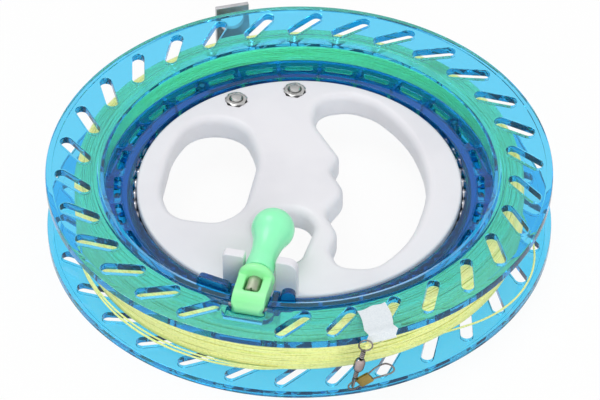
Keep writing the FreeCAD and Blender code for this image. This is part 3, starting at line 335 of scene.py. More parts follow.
class Shape:
    """Points in millimetres and the faces between them."""

    def __init__(self):
        self.points = []
        self.faces = []

    def ring(self, points):
        start = len(self.points)
        self.points.extend(points)
        return list(range(start, len(self.points)))

    def ring_at(self, outline, place, height):
        """Add a flat outline at a height, moved by a matrix."""
        return self.ring([tuple(place @ Vector((x, y, height))) for x, y in outline])

    def band(self, one, two, closed=True):
        count = len(one)
        for k in range(count if closed else count - 1):
            after = (k + 1) % count
            self.faces.append((one[k], one[after], two[after], two[k]))

    def bands(self, rings, closed=False):
        """Join each ring to the next, and the last to the first where closed."""
        after = rings[1:] + (rings[:1] if closed else [])
        for one, two in zip(rings, after):
            self.band(one, two)

    def fill(self, outer, holes=()):
        """Cover the flat area inside one loop and outside the others."""
        def flat_points(indices):
            return np.array([self.points[index][:2] for index in indices])

        loops = [outer, *holes]
        order = [index for loop in loops for index in loop]
        flat = [Vector(self.points[index][:2]) for index in order]
        edges, start = [], 0
        for loop in loops:
            count = len(loop)
            edges += [(start + k, start + (k + 1) % count) for k in range(count)]
            start += count
        made = geometry.delaunay_2d_cdt(flat, edges, [], 0, 1e-6)
        back = [order[first[0]] for first in made[3]]
        triangles = np.array(made[2])
        middles = flat_points(back)[triangles].mean(axis=1)
        keep = inside(flat_points(outer), middles)
        for hole in holes:
            keep &= ~inside(flat_points(hole), middles)
        self.faces += [tuple(back[corner] for corner in triangle) for triangle in triangles[keep]]

    def add(self, other, matrix=Matrix.Identity(4)):
        start = len(self.points)
        self.points += [tuple(matrix @ Vector(point)) for point in other.points]
        self.faces += [tuple(start + index for index in face) for face in other.faces]


def gather(parts):
    """One shape from pairs of a shape and its place."""
    whole = Shape()
    for shape, place in parts:
        whole.add(shape, place)
    return whole


def make_piece(name, shape, material, smooth=40, matrix=Matrix.Identity(4)):
    """A piece from a shape, with its normals outward and its flat faces kept flat."""
    mesh = bpy.data.meshes.new(name)
    points = [tuple(matrix @ Vector(point) * MM) for point in shape.points]
    mesh.from_pydata(points, [], shape.faces)
    finish_mesh(mesh, smooth)
    mesh.materials.append(material)
    return add_object(name, mesh)


def finish_mesh(mesh, smooth):
    work = bmesh.new()
    work.from_mesh(mesh)
    bmesh.ops.recalc_face_normals(work, faces=work.faces)
    work.to_mesh(mesh)
    work.free()
    mesh.shade_smooth()
    mesh.set_sharp_from_angle(angle=math.radians(smooth))


def repaint(piece, *materials):
    piece.data.materials.clear()
    for material in materials:
        piece.data.materials.append(material)


def weigh_normals(piece):
    """Keep big flat faces flat where they meet narrow rounded edges."""
    modifier = piece.modifiers.new("Normals", "WEIGHTED_NORMAL")
    modifier.keep_sharp = True
    modifier.weight = 100


def combine(piece, shape, operation, smooth=40, matrix=Matrix.Identity(4)):
    """Join a shape to a piece or cut it away, as solids."""
    tool = make_piece(piece.name + "_tool", shape, piece.data.materials[0], smooth, matrix)
    modifier = piece.modifiers.new("Solid", "BOOLEAN")
    modifier.operation = operation
    modifier.solver = "EXACT"
    modifier.object = tool
    apply_modifiers(piece, smooth)
    bpy.data.objects.remove(tool)


def apply_modifiers(piece, smooth):
    graph = bpy.context.evaluated_depsgraph_get()
    graph.update()
    made = bpy.data.meshes.new_from_object(piece.evaluated_get(graph))
    piece.modifiers.clear()
    piece.data = made
    finish_mesh(made, smooth)


def round_edges(piece, width, segments, angle):
    modifier = piece.modifiers.new("Rounds", "BEVEL")
    modifier.width = width * MM
    modifier.segments = segments
    modifier.limit_method = "ANGLE"
    modifier.angle_limit = math.radians(angle)


def soften(piece, voxel, rounds, smooth):
    """Melt a piece's overlapping solids into one and soften its edges."""
    remesh = piece.modifiers.new("Melt", "REMESH")
    remesh.mode = "VOXEL"
    remesh.voxel_size = voxel * MM
    ease = piece.modifiers.new("Soft", "SMOOTH")
    ease.factor = 0.5
    ease.iterations = rounds
    apply_modifiers(piece, smooth)


def wheel_ring(shape, radius, height, steps=STEPS):
    return shape.ring([polar(radius, 360 * k / steps, height) for k in range(steps)])


def lathe(rows, steps=64, closed=False):
    """Solid turned about Z from (radius, height) rows; a radius of 0 closes an end."""
    shape = Shape()
    rings = []
    for radius, height in rows:
        if radius == 0:
            rings.append(shape.ring([(0, 0, height)]))
        else:
            rings.append(wheel_ring(shape, radius, height, steps))
    for one, two in zip(rings, rings[1:] + (rings[:1] if closed else [])):
        if len(one) == 1:
            shape.faces += [(one[0], two[k], two[(k + 1) % steps]) for k in range(steps)]
        elif len(two) == 1:
            shape.faces += [(two[0], one[(k + 1) % steps], one[k]) for k in range(steps)]
        else:
            shape.band(one, two)
    return shape


def prism(outline, low, high, bevel=0.0):
    """Solid from a flat outline, upright, with its end edges drawn in by a bevel."""
    shape = Shape()
    centre = np.mean(np.array(outline), axis=0)
    steps = [(low, bevel), (low + bevel, 0.0), (high - bevel, 0.0), (high, bevel)]
    if bevel == 0:
        steps = [(low, 0.0), (high, 0.0)]
    rings = []
    for height, inset in steps:
        points = []
        for x, y in outline:
            away = Vector((x - centre[0], y - centre[1]))
            short = away * (1 - inset / max(away.length, 1e-6))
            points.append((centre[0] + short.x, centre[1] + short.y, height))
        rings.append(shape.ring(points))
    shape.fill(rings[0])
    shape.bands(rings)
    shape.fill(rings[-1])
    return shape


def box(x0, x1, y0, y1, z0, z1):
    return prism([(x0, y0), (x1, y0), (x1, y1), (x0, y1)], z0, z1)


def peg(radius, low, high, steps=32):
    """Plain round bar along Z."""
    return lathe([(0, low), (radius, low), (radius, high), (0, high)], steps)


def tube(points, radius, sides=8, closed=False):
    """Round bar that follows a line of points."""
    shape = Shape()
    line = [Vector(point) for point in points]
    count = len(line)
    side = None
    rings = []
    for k in range(count):
        before = line[k - 1] if k or closed else line[k]
        after = line[(k + 1) % count] if k < count - 1 or closed else line[k]
        along = (after - before).normalized()
        if side is None:
            side = along.orthogonal().normalized()
        side = (side - along * side.dot(along)).normalized()
        other = along.cross(side)
        rings.append(shape.ring([
            tuple(line[k] + (side * math.cos(math.tau * s / sides)
                             + other * math.sin(math.tau * s / sides)) * radius)
            for s in range(sides)]))
    shape.bands(rings, closed)
    if not closed:
        shape.faces += [tuple(reversed(rings[0])), tuple(rings[-1])]
    return shape


def stadium(length, width, offset, arc=9):
    """Outline with round ends along X, grown by an offset."""
    reach = (length - width) / 2
    radius = width / 2 + offset
    points = []
    for end, start in ((1, -90), (-1, 90)):
        for k in range(arc + 1):
            angle = math.radians(start + 180 * k / arc)
            points.append((end * reach + radius * math.cos(angle), radius * math.sin(angle)))
    return points


def corner_arc(before, corner, after, radius):
    """Arc that rounds a corner: its centre, half the corner's angle, and the arc's two ends."""
    one, two = (before - corner).normalized(), (after - corner).normalized()
    half = one.angle(two) / 2
    trim = radius / math.tan(half)
    centre = corner + (one + two).normalized() * (radius / math.sin(half))
    return centre, half, corner + one * trim - centre, corner + two * trim - centre


def rounded(corners, offset, step):
    """Outline inside a frame of corners (x, y, radius), moved outward by an offset."""
    flat = [Vector((x, y)) for x, y, _ in corners]
    points = []
    for k, (_, _, radius) in enumerate(corners):
        centre, half, enter, leave = corner_arc(flat[k - 1], flat[k],
                                                flat[(k + 1) % len(flat)], radius)
        sweep = math.pi - 2 * half
        sign = 1 if leave.x * enter.y - leave.y * enter.x < 0 else -1
        start = math.atan2(enter.y, enter.x)
        parts = max(3, round(math.degrees(sweep) / step))
        for part in range(parts + 1):
            angle = start + sign * sweep * part / parts
            reach = radius + sign * offset
            points.append((centre.x + reach * math.cos(angle), centre.y + reach * math.sin(angle)))
    return points


def pad_outline(x0, x1, half, near_round, far_round, step):
    """Rectangle about the X axis with its corners rounded at each end."""
    return rounded([(x0, -half, near_round), (x1, -half, far_round), (x1, half, far_round),
                    (x0, half, near_round)], 0, step)


def edge_rows(radius, low, high, parts):
    """(outward step, height) pairs that round both rims of a hole."""
    angles = [math.pi / 2 * k / parts for k in range(parts + 1)]
    return ([(radius * (1 - math.sin(a)), low + radius * (1 - math.cos(a))) for a in angles]
            + [(radius * (1 - math.cos(a)), high - radius * (1 - math.sin(a))) for a in angles])


# ---- cords

def cord_curve(name, points):
    """Open smooth spline that the route's points control."""
    curve = bpy.data.curves.new(name, "CURVE")
    curve.dimensions = "3D"
    curve.bevel_depth = LINE_RADIUS * MM
    curve.bevel_resolution = 4
    curve.use_fill_caps = True
    curve.resolution_u = 16
    spline = curve.splines.new("NURBS")
    spline.points.add(len(points) - 1)
    for point, place in zip(spline.points, points):
        point.co = (*[value * MM for value in place], 1)
    spline.order_u = 3
    spline.use_endpoint_u = True
    curve.materials.append(line_yellow)
    return add_object(name, curve)


STRAND = [(309.0, 88.0, 0.6), (313.5, 90.0, 0.3), (319.0, 93.2, 0.0), (325.0, 96.0, 0.0),
          (331.5, 97.6, 0.0), (338.0, 97.6, 0.0), (344.0, 96.4, 0.0), (350.0, 94.0, 0.0),
          (355.5, 91.2, 0.3), (360.5, 88.0, 0.8)]
strand_route = [polar(radius, angle, -5.05 + rise) for angle, radius, rise in STRAND]
tail_route = [polar(88.0, 300.0, 10.0), polar(91.5, 294.5, 12.6), polar(97.8, 289.4, 14.4),
              (27.7, -97.7, 15.3), (EYE_X, -98.3, EYE_Z), (EYE_X, -102.0, EYE_Z)]

strand = cord_curve("line_strand_cord", strand_route)
tail = cord_curve("line_tail_cord", tail_route)
# A trefoil drawn tight round the end of the tail.
knot_turns = [(EYE_X + 0.2 * (math.sin(k / 40 * math.tau) + 2 * math.sin(k / 20 * math.tau)),
               -101.2 - 0.2 * math.sin(3 * k / 40 * math.tau),
               EYE_Z + 0.2 * (math.cos(k / 40 * math.tau) - 2 * math.cos(k / 20 * math.tau)))
              for k in range(40)]
knot = make_piece("line_tail_knot", tube(knot_turns, 0.34, 8, closed=True), line_yellow, 180)
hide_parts("line_strand")
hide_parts("line_tail")
for cord in (strand, tail, knot):
    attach(cord, "wheel")


# ---- wheel halves

GROOVE = 3.05          # radius of the ball track's section
PITCH = 65.05
BALLS = 64


def groove(radius, side):
    """Rows of the ball track in a wall at a radius; side is 1 where the wall is outside."""
    half = math.sqrt(GROOVE ** 2 - (radius - PITCH) ** 2)
    start = math.asin(half / GROOVE)
    return [(PITCH + side * GROOVE * math.cos(start * (1 - k / 6)),
             GROOVE * math.sin(start * (1 - k / 6))) for k in range(7)]


def shell_shape(side, missing=()):
    """One half of the wheel: flange with slots, drum, ridge, shelf with windows, race."""
    seam = 0.02
    shape = Shape()

    def rows(pairs):
        made = [wheel_ring(shape, radius, MID + side * height) for radius, height in pairs]
        shape.bands(made)
        return made

    def holes(count, start, radius, length, width, slant, levels, skip=()):
        """Walls of a set of stadium holes, and their loops on the first and last level."""
        firsts, lasts = [], []
        for k in range(count):
            angle = start + 360 * k / count
            if any(abs(angle % 360 - place) < 1 for place in skip):
                continue
            place = shift(*polar(radius, angle)) @ turn(angle + slant)
            made = [shape.ring_at(stadium(length, width, offset), place, MID + side * height)
                    for offset, height in levels]
            shape.bands(made)
            firsts.append(made[0])
            lasts.append(made[-1])
        return firsts, lasts

    outer_wall = rows([(77.0, 3.2), (77.0, seam), (79.5, seam), (79.5, 11.0), (79.8, 11.3)])
    rim = rows([(99.6, 11.3), (99.88, 11.42), (100, 11.7), (100, 14.4), (99.85, 14.75),
                (99.5, 14.9), (97.9, 14.9), (97.55, 14.8), (97.4, 14.5)])
    ridge = rows([(81.7, 14.5), (81.5, 14.65), (81.5, 15.3), (81.4, 15.5), (81.15, 15.6),
                  (79.3, 15.6), (79.0, 15.48), (77.1, 14.25), (77.0, 14.05), (77.0, 5.8),
                  (76.9, 5.5), (76.6, 5.4)])
    race = rows([(70.2, 5.4), (70.02, 5.5), (70.0, 5.85), (69.8, 6.0), (66.1, 6.0),
                 (65.86, 5.9), (65.8, 5.7), *groove(65.8, 1)[:-1], (PITCH + GROOVE, seam),
                 (69.9, seam), (69.9, 3.2)])
    slot_rows = [(0.22, 11.3), (0.06, 11.36), (0, 11.5), (0, 14.0), (0.07, 14.25),
                 (0.25, 14.43), (0.5, 14.5)]
    under, over = holes(30, 4.4, 89.3, 17.5, 4.8, -45, slot_rows, missing)
    shape.fill(rim[0], [outer_wall[-1], *under])
    shape.fill(rim[-1], [ridge[0], *over])
    window_rows = [(0.15, 3.2), (0, 3.35), (0, 5.15), (0.08, 5.32), (0.25, 5.4)]
    under, over = holes(28, 90, 71.9, 11.5, 2.6, 90, window_rows)
    shape.fill(outer_wall[0], [race[-1], *under])
    shape.fill(ridge[-1], [race[0], *over])
    return shape


def shell_fittings(side):
    """Ribs and screw bosses in the hollow between the race and the drum."""
    shape = Shape()
    for k in range(28):
        if k % 7 == 2:
            continue
        low, high = sorted((MID + side * 0.3, MID + side * 4.2))
        shape.add(box(69.0, 78.0, -0.75, 0.75, low, high), turn(90 + 360 / 28 * (k + 0.5)))
    for k in range(4):
        low, high = sorted((MID + side * 0.15, MID + side * 4.6))
        shape.add(peg(3.0, low, high), shift(*polar(BOSS_RADIUS, BOSS_START + 90 * k)))
    return shape


def lug_shape(width, top, rounding):
    """Upright lug, 3 mm thick along the radius: X is tangent, Y is up."""
    half = width / 2
    outline = rounded([(-half, 9.5, 0.2), (half, 9.5, 0.2), (half, top, rounding),
                       (-half, top, rounding)], 0, 15)
    return prism(outline, -1.5, 1.5, 0.3)


def lug_place(radius, angle):
    """Outline plane to the tangent plane: X stays tangent, Y turns up, Z turns inward."""
    return shift(*polar(radius, angle)) @ turn(angle + 90) @ turn(90, "X")


upper = make_piece("upper_shell_clear", shell_shape(1, (256.4,)), clear_blue)
lower = make_piece("lower_shell_clear", shell_shape(-1), clear_blue)
combine(lower, shell_fittings(-1), "UNION")

combine(upper, shell_fittings(1), "UNION")
seat = turn(CRANK)
# The crank's seat: a block, two lugs and a ledge, then the pocket, its front notch and the pin.
combine(upper, box(70.9, 78.0, -10.25, 10.25, 9.6, 20.25), "UNION", matrix=seat)
lugs = gather([(lug_shape(14.0, 23.4, 2.2), lug_place(74.7, 244.0)),
               (lug_shape(5.8, 21.4, 2.8), lug_place(71.9, 266.6))])
combine(upper, lugs, "UNION")
ledge = prism(pad_outline(76.2, 86.4, 10.2, 0.3, 3.8, 10), 14.7, 19.9)
combine(upper, ledge, "UNION", matrix=seat)
pocket = prism(pad_outline(62.0, 85.2, 7.7, 0.3, 3.0, 10), 15.5, 30.0)
combine(upper, pocket, "DIFFERENCE", matrix=seat)
combine(upper, box(84.0, 90.0, -7.7, 7.7, 18.3, 22.0), "DIFFERENCE", matrix=seat)
combine(upper, peg(1.32, -9.6, 9.6), "DIFFERENCE", matrix=crank_frame @ turn(90, "X"))


# Material slots on each shell half: plain clear plastic, painted shade, and painted light on the
# drum wall.
CLEAR, SHADE_PAINTED, LIGHT_PAINTED = range(3)
DRUM_IN, DRUM_OUT = 76.9, 79.9         # just inside and outside the drum's wall


def paint_shell_light_and_shade(half):
    """Painted shade: deeper blue where the plastic is thick or stands on edge (race, shelf, ridge,
    slot walls, rim side), for light that runs a long way through it; painted light: paler blue on
    the drum wall.
    """
    repaint(half, clear_blue, painted_shade_blue, painted_light_blue)
    for face in half.data.polygons:
        radius = math.hypot(face.center.x, face.center.y) / MM
        height = abs(face.center.z / MM - MID)
        upright = abs(face.normal.z) < 0.5
        # drum picks the drum wall's faces for painted light; deep picks faces for painted shade.
        drum = upright and DRUM_IN < radius < DRUM_OUT and height < 14.0
        ridge = upright and radius < 78.0 and height > 14.0
        slot = upright and DRUM_OUT < radius < 97.2 and height > 11.35
        rim = upright and radius > 99.3
        deep = radius < DRUM_IN or ridge or slot or rim
        face.material_index = LIGHT_PAINTED if drum else SHADE_PAINTED if deep else CLEAR


for half, node in ((upper, "upper_shell"), (lower, "lower_shell")):
    paint_shell_light_and_shade(half)
    weigh_normals(half)
    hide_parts(node)
    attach(half, "wheel")


# ---- shell screws and balls

def screw_shape():
    """Pan head with a round recess, seen from below, and a plain shank."""
    return lathe([(0, 0.45), (0.9, 0.45), (1.1, 0.0), (2.0, 0.0), (2.45, 0.25), (2.6, 0.7),
                  (2.6, 1.2), (1.45, 1.2), (1.45, 9.0), (1.0, 9.6), (0, 9.6)], 32)


screws = gather((screw_shape(), shift(*polar(BOSS_RADIUS, BOSS_START + 90 * k, 0.4)))
                for k in range(4))
shell_screws = make_piece("shell_screw_set", screws, zinc)
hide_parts("shell_screws")
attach(shell_screws, "wheel")

ball = lathe([(0, -3.0), *[(3.0 * math.cos(math.radians(a)), 3.0 * math.sin(math.radians(a)))
                           for a in range(-75, 76, 15)], (0, 3.0)], 20)
balls = gather((ball, shift(*polar(PITCH, 360 * k / BALLS, MID))) for k in range(BALLS))
ball_ring = make_piece("ball_ring", balls, ball_steel, 180)
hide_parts("bearing_balls")
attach(ball_ring, "ball_train")


# ---- grip plate

THUMB = [(-55.0, -4.0, 30.0), (-50.5, 24.0, 40.0), (-42.0, 40.5, 13.0), (-23.0, 39.5, 14.0),
         (-16.0, 18.0, 34.0), (-22.0, -14.0, 17.0), (-32.5, -20.5, 10.0), (-49.5, -17.5, 11.0)]
FINGERS = [(43.5, 34.9, 60.0), (52.2, 1.5, 60.0), (43.5, -31.9, 50.0), (29.0, -47.8, 12.0),
           (15.5, -46.2, 6.0), (12.3, -37.5, 9.0), (15.2, -27.0, 9.0), (10.6, -15.5, 6.0),
           (18.4, -2.5, 9.0), (13.0, 9.3, 6.0), (16.4, 18.0, 6.0), (6.0, 39.0, 14.0),
           (8.0, 52.5, 8.0), (20.0, 54.8, 12.0), (29.5, 50.5, 16.0)]
PALM = [(-18.8, -21.5, 10.0), (-11.0, -14.0, 8.0), (1.5, -14.0, 8.0), (6.3, -23.0, 9.0),
        (0.0, -43.5, 7.0), (-14.0, -45.5, 7.0)]
bolts = [polar(math.hypot(BOLT_REACH, BOLT_SPREAD),
               GUIDE + side * math.degrees(math.atan2(BOLT_SPREAD, BOLT_REACH)))
         for side in (-1, 1)]


def outward(corners):
    """The sign that moves this outline away from its own middle."""
    area = sum(a[0] * b[1] - b[0] * a[1] for a, b in zip(corners, corners[1:] + corners[:1]))
    return 1 if area > 0 else -1


def hexagon(flats):
    corners = [polar(flats / math.sqrt(3), 60 * k) for k in range(6)]
    return rounded([(x, y, 0.4) for x, y, _ in corners], 0, 20)


def grip_shape():
    """Plate with its ball track, three rounded holes and two nut pockets."""
    shape = Shape()
    track = [(radius, MID - height) for radius, height in groove(64.3, -1)]
    upper_track = [(radius, 2 * MID - height) for radius, height in reversed(track)]
    rim = [(63.3, 0), (63.75, 0.1), (64.15, 0.45), (64.3, 1.0), *track, *upper_track[1:],
           (64.3, 10.6), (64.15, 11.15), (63.75, 11.5), (63.3, PLATE_TOP)]
    made = [wheel_ring(shape, radius, height, 288) for radius, height in rim]
    shape.bands(made)
    under, over = [], []
    for corners in (THUMB, FINGERS, PALM):
        sign = outward(corners)
        loops = []
        for offset, height in edge_rows(3.4, 0, PLATE_TOP, 6):
            outline = rounded(corners, sign * offset, 5.0)
            loops.append(shape.ring([(x, y, height) for x, y in outline]))
        shape.bands(loops)
        under.append(loops[0])
        over.append(loops[-1])
    for x, y, _ in bolts:
        place = shift(x, y, 0) @ turn(GUIDE)
        hexes = [shape.ring_at(hexagon(NUT_FLATS + 2 * extra), place, height) for extra, height
                 in ((0.6, PLATE_TOP), (0.2, 11.45), (0.1, 11.2), (0.1, NUT_BASE))]
        bores = [shape.ring_at([polar(2.6, 15 * k)[:2] for k in range(24)], place, height)
                 for height in (NUT_BASE, 0)]
        shape.bands(hexes)
        shape.fill(hexes[-1], [bores[0]])
        shape.band(bores[0], bores[1])
        over.append(hexes[0])
        under.append(bores[1])
    shape.fill(made[0], under)
    shape.fill(made[-1], over)
    return shape


def post_shape(side):
    """Lock post beside the crank; its outer top corner is rounded on the right one."""
    near, far = side * 6.25, side * 14.75
    big, small = (3.8, 1.0) if side > 0 else (1.4, 0.8)
    outline = rounded([(near, 10.6, 0.3), (far, 10.6, 0.3), (far, 28.2, big), (near, 28.2, small)],
                      0, 12)
    return prism(outline, -2.0, 2.0, 0.5)


grip = make_piece("grip_plate", grip_shape(), white_plastic, 35)
weigh_normals(grip)
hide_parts("hub_plate")
post_place = turn(CRANK) @ shift(61.6, 0, 0) @ turn(90) @ turn(90, "X")
posts = gather((post_shape(side), post_place) for side in (-1, 1))
lock_posts = make_piece("lock_posts", posts, white_plastic, 35)
weigh_normals(lock_posts)
for piece in (grip, lock_posts):
    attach(piece, "grip")


# ---- crank

def yoke_profile():
    """Side of the yoke: lobe round the pin, rounded shoulder, low top towards the knob."""
    points = [polar(2.6, -130 + 190 * k / 16)[:2] for k in range(17)]
    return [*points, (0.3, 3.4), (-1.0, 4.4), (-2.6, 5.0), (-4.4, 5.2), (-14.0, 5.2),
            (-14.0, -1.9)]


yoke_body = Shape()
yoke_body.add(prism(yoke_profile(), -6.6, 6.6), turn(90, "X"))
yoke = make_piece("crank_yoke", yoke_body, yoke_green, 35, crank_frame)
window = prism(pad_outline(-12.1, -4.3, 3.3, 1.2, 1.2, 15), -6.0, 12.0)
combine(yoke, window, "DIFFERENCE", 35, crank_frame)
corner_cut = Shape()
for side in (-1, 1):
    corner_cut.add(prism([(0.0, side * 7.4), (3.6, side * 7.4), (3.6, side * 3.8)], -5, 9))
combine(yoke, corner_cut, "DIFFERENCE", 35, crank_frame)
collar = lathe([(0, -1.6), (5.7, -1.6), (6.8, -1.1), (7.25, -0.2), (7.25, 0.7), (6.8, 1.6),
                (5.8, 2.0), (0, 2.0)], 48)
collar_piece = make_piece("crank_collar", collar, yoke_green, 35,
                          crank_frame @ shift(-13.9, 0, KNOB_RISE) @ turn(90, "Y"))
merged = bmesh.new()
merged.from_mesh(yoke.data)
merged.from_mesh(collar_piece.data)
merged.to_mesh(yoke.data)
merged.free()
bpy.data.objects.remove(collar_piece)
soften(yoke, 0.3, 9, 60)
bores = gather([(peg(1.65, -4, 6), crank_frame @ shift(-16, 0, KNOB_RISE) @ turn(90, "Y")),
                (peg(1.35, -9, 9), crank_frame @ turn(90, "X"))])
combine(yoke, bores, "DIFFERENCE", 60)
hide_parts("crank_base")
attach(yoke, "crank")


def knob_rows():
    """Neck that flares at its foot and swells smoothly into a round bulb."""
    waist, start, centre, radius = 5.36, 7.4, 22.4, 8.42
    rows = [(0, -1.0), (5.2, -1.0), (5.6, -0.8), (5.75, -0.2), (5.75, 1.0), (5.68, 2.6),
            (5.55, 4.4), (5.42, 6.0), (waist, start)]
    join = math.radians(116)
    end_r, end_z = radius * math.sin(join), centre + radius * math.cos(join)
    slope = (end_z - start) * -math.cos(join) / math.sin(join)
    for k in range(1, 15):
        t = k / 15
        rows.append((waist * (2 * t ** 3 - 3 * t * t + 1) + end_r * (3 * t * t - 2 * t ** 3)
                     + slope * (t ** 3 - t * t), start + (end_z - start) * t))
    for k in range(24):
        angle = join * (1 - k / 24)
        rows.append((radius * math.sin(angle), centre + radius * math.cos(angle)))
    return [*rows, (0, centre + radius)]


knob = make_piece("knob_turned", lathe(knob_rows(), 64), knob_green, 35, knob_frame)
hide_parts("crank_knob")
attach(knob, "knob")

spindle_frame = crank_frame @ shift(-12.5, 0, KNOB_RISE) @ turn(-90, "Y")
spindle = make_piece("knob_spindle", lathe([
    (0, -7.4), (2.3, -7.4), (2.7, -7.1), (2.85, -6.6), (2.85, 0.1), (1.5, 0.1), (1.5, 6.0),
    (0, 6.0)], 32), dull_zinc, 35, spindle_frame)
combine(spindle, box(-3, 3, -0.35, 0.35, -8, -6.8), "DIFFERENCE", 35, spindle_frame)
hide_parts("knob_screw")
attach(spindle, "knob")
repaint(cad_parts["hinge_pin"], dark_steel)


# ---- line guide

def strip_line(points, radius, parts=6):
    """Centre line of a bent strip: (r, z) corners joined by arcs."""
    flat = [Vector(point) for point in points]
    line = [flat[0]]
    for k in range(1, len(flat) - 1):
        centre, _, enter, leave = corner_arc(flat[k - 1], flat[k], flat[k + 1], radius)
        line += [centre + enter.lerp(leave, part / parts).normalized() * radius
                 for part in range(parts + 1)]
    return [*line, flat[-1]]


def strip_shape():
    """Strip 2 mm thick: wide foot, narrow arm and upright."""
    wide, narrow, narrows_at = 17.0, 6.9, 66.5
    line = strip_line([(49, -1), (62.8, -1), (75.3, -11.6), (UPRIGHT, -11.6), (UPRIGHT, 11.4)],
                      2.3)
    shape = Shape()
    rows = []
    for k, spot in enumerate(line):
        before = line[max(k - 1, 0)]
        after = line[min(k + 1, len(line) - 1)]
        along = (after - before).normalized()
        normal = Vector((-along.y, along.x))
        if k and line[k - 1].x < narrows_at <= spot.x:
            step = line[k - 1].lerp(spot, 0.25)
            rows.append((step, normal, wide))
            rows.append((step + along * 1.5, normal, narrow))
        rows.append((spot, normal, wide if spot.x < narrows_at else narrow))
    rings = []
    for spot, normal, half in rows:
        top, under = spot + normal, spot - normal
        rings.append(shape.ring([(top.x, -half, top.y), (top.x, half, top.y),
                                 (under.x, half, under.y), (under.x, -half, under.y)]))
    shape.bands(rings)
    shape.faces += [tuple(rings[0]), tuple(rings[-1])]
    return shape


bracket = make_piece("guide_strip", strip_shape(), aluminium_painted_shade, 30, guide_frame)
cuts = Shape()
cuts.add(peg(4.75, -4, 4, 48), guide_frame @ shift(UPRIGHT, 0, 2.9) @ turn(90, "Y"))
for side in (-1, 1):
    cuts.add(peg(2.6, -5, 3), guide_frame @ shift(BOLT_REACH, side * BOLT_SPREAD, 0))
combine(bracket, cuts, "DIFFERENCE", 30)
round_edges(bracket, 0.3, 2, 50)
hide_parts("guide_bracket")
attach(bracket, "grip")


def nut_shape():
    """Hexagon nut with chamfered corners."""
    shape = Shape()
    count = 72
    angles = [360 * k / count for k in range(count)]
    reach = [4.0 / math.cos(math.radians((angle + 30) % 60 - 30)) for angle in angles]
    drop = [max(0.0, (value - 3.9) * 0.6) for value in reach]
    rings = [shape.ring([polar(r, a, 0.02) for r, a in zip(reach, angles)]),
             shape.ring([polar(r, a, 4.0 - d) for r, a, d in zip(reach, angles, drop)]),
             *[wheel_ring(shape, radius, height, count)
               for radius, height in ((3.8, 4.0), (2.9, 4.0), (2.52, 3.6), (2.52, 0.02))]]
    shape.bands(rings, closed=True)
    return shape


def bolt_shape():
    """Bolt with a low round head below and a few turns of thread at its top end."""
    rows = [(0, -4.75), (3.2, -4.75), (4.2, -4.3), (4.5, -3.4), (4.5, -2.0), (2.5, -2.0)]
    height = 6.0
    while height < 12.3:
        rows += [(2.5, height), (2.28, height + 0.4)]
        height += 0.8
    rows += [(2.35, 12.5), (2.0, 13.0), (1.2, 13.17), (0, 13.2)]
    return lathe(rows, 40)


nut_set = gather((nut_shape(), shift(x, y, NUT_BASE) @ turn(GUIDE)) for x, y, _ in bolts)
bolt_set = gather((bolt_shape(), shift(x, y, 0)) for x, y, _ in bolts)
nuts = make_piece("guide_nut_pair", nut_set, zinc, 25)
bolt_pair = make_piece("guide_bolt_pair", bolt_set, zinc, 35)
for piece, node in ((nuts, "guide_nuts"), (bolt_pair, "guide_bolts")):
    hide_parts(node)
    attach(piece, "grip")


# ---- wound line

def wander(size, waves=(1, 2, 3, 5, 8)):
    """A smooth random wave round the wheel."""
    parts = [(wave, random.uniform(-1, 1) * size / math.sqrt(wave), random.uniform(0, math.tau))
             for wave in waves]

    def at(angle):
        return sum(much * math.sin(wave * angle + start) for wave, much, start in parts)
    return at


def turn_of_line(radius, height, loose_r, loose_z, bulge=None, count=240):
    """One turn, kept between the flanges and under the crank's seat."""
    in_out, up_down = wander(loose_r), wander(loose_z)
    points = []
    for k in range(count):
        angle = math.tau * k / count
        degrees = math.degrees(angle)
        r = radius + in_out(angle)
        z = height + up_down(angle)
        if bulge:
            extra, low = bulge(degrees)
            r += extra
            z += (low - z) * min(1.0, extra / 1.5) if low is not None else 0.0
        z = min(max(z, -5.0), 16.65)
        near = max(0.0, 1 - max(0.0, abs(degrees - CRANK) - 8.5) / 5)
        if z > 13.3:
            z += (13.3 - z) * near * near * (3 - 2 * near)
        points.append(polar(max(r, 79.93), degrees, z))
    return tube(points, LINE_RADIUS, 6, closed=True)


def hump(start, end, size, low):
    """Extra radius between two angles, for turns that have slipped outward."""
    def at(degrees):
        share = (degrees - start) / (end - start)
        if not 0 < share < 1:
            return 0.0, None
        return size * math.sin(math.pi * share) ** 0.6, low
    return at


def sink(height):
    """How much smaller a turn is close to a flange."""
    return max(0.0, 1.2 - min(height - LINE_LOW, LINE_HIGH - height) * 0.5)


# Even turns over the front, crossing turns, both sides, the bottom, and three that have slipped.
winding = Shape()
for k in range(29):
    z = -4.95 + 21.6 * k / 28
    winding.add(turn_of_line(88.15 - sink(z), z, 0.14, 0.35))
for k in range(13):
    z = -4.2 + 20.0 * (k + random.uniform(-0.3, 0.3)) / 12
    winding.add(turn_of_line(88.35 - sink(z), z, 0.1, 1.1))
for k in range(10):
    winding.add(turn_of_line(80.3 + 0.8 * k, 16.55, 0.25, 0.12))
    winding.add(turn_of_line(80.3 + 0.8 * k, -4.95, 0.25, 0.1))
for k in range(28):
    winding.add(turn_of_line(80.02, -4.9 + 21.4 * k / 27, 0.03, 0.25))
for size, low, first, last in ((3.4, -4.6, 190, 266), (3.9, -4.2, 196, 262),
                               (2.6, -3.6, 186, 270)):
    winding.add(turn_of_line(88.1, -4.2, 0.1, 0.2, hump(first, last, size, low)))
wound = make_piece("line_turns", winding, line_yellow, 180)
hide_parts("line_winding")

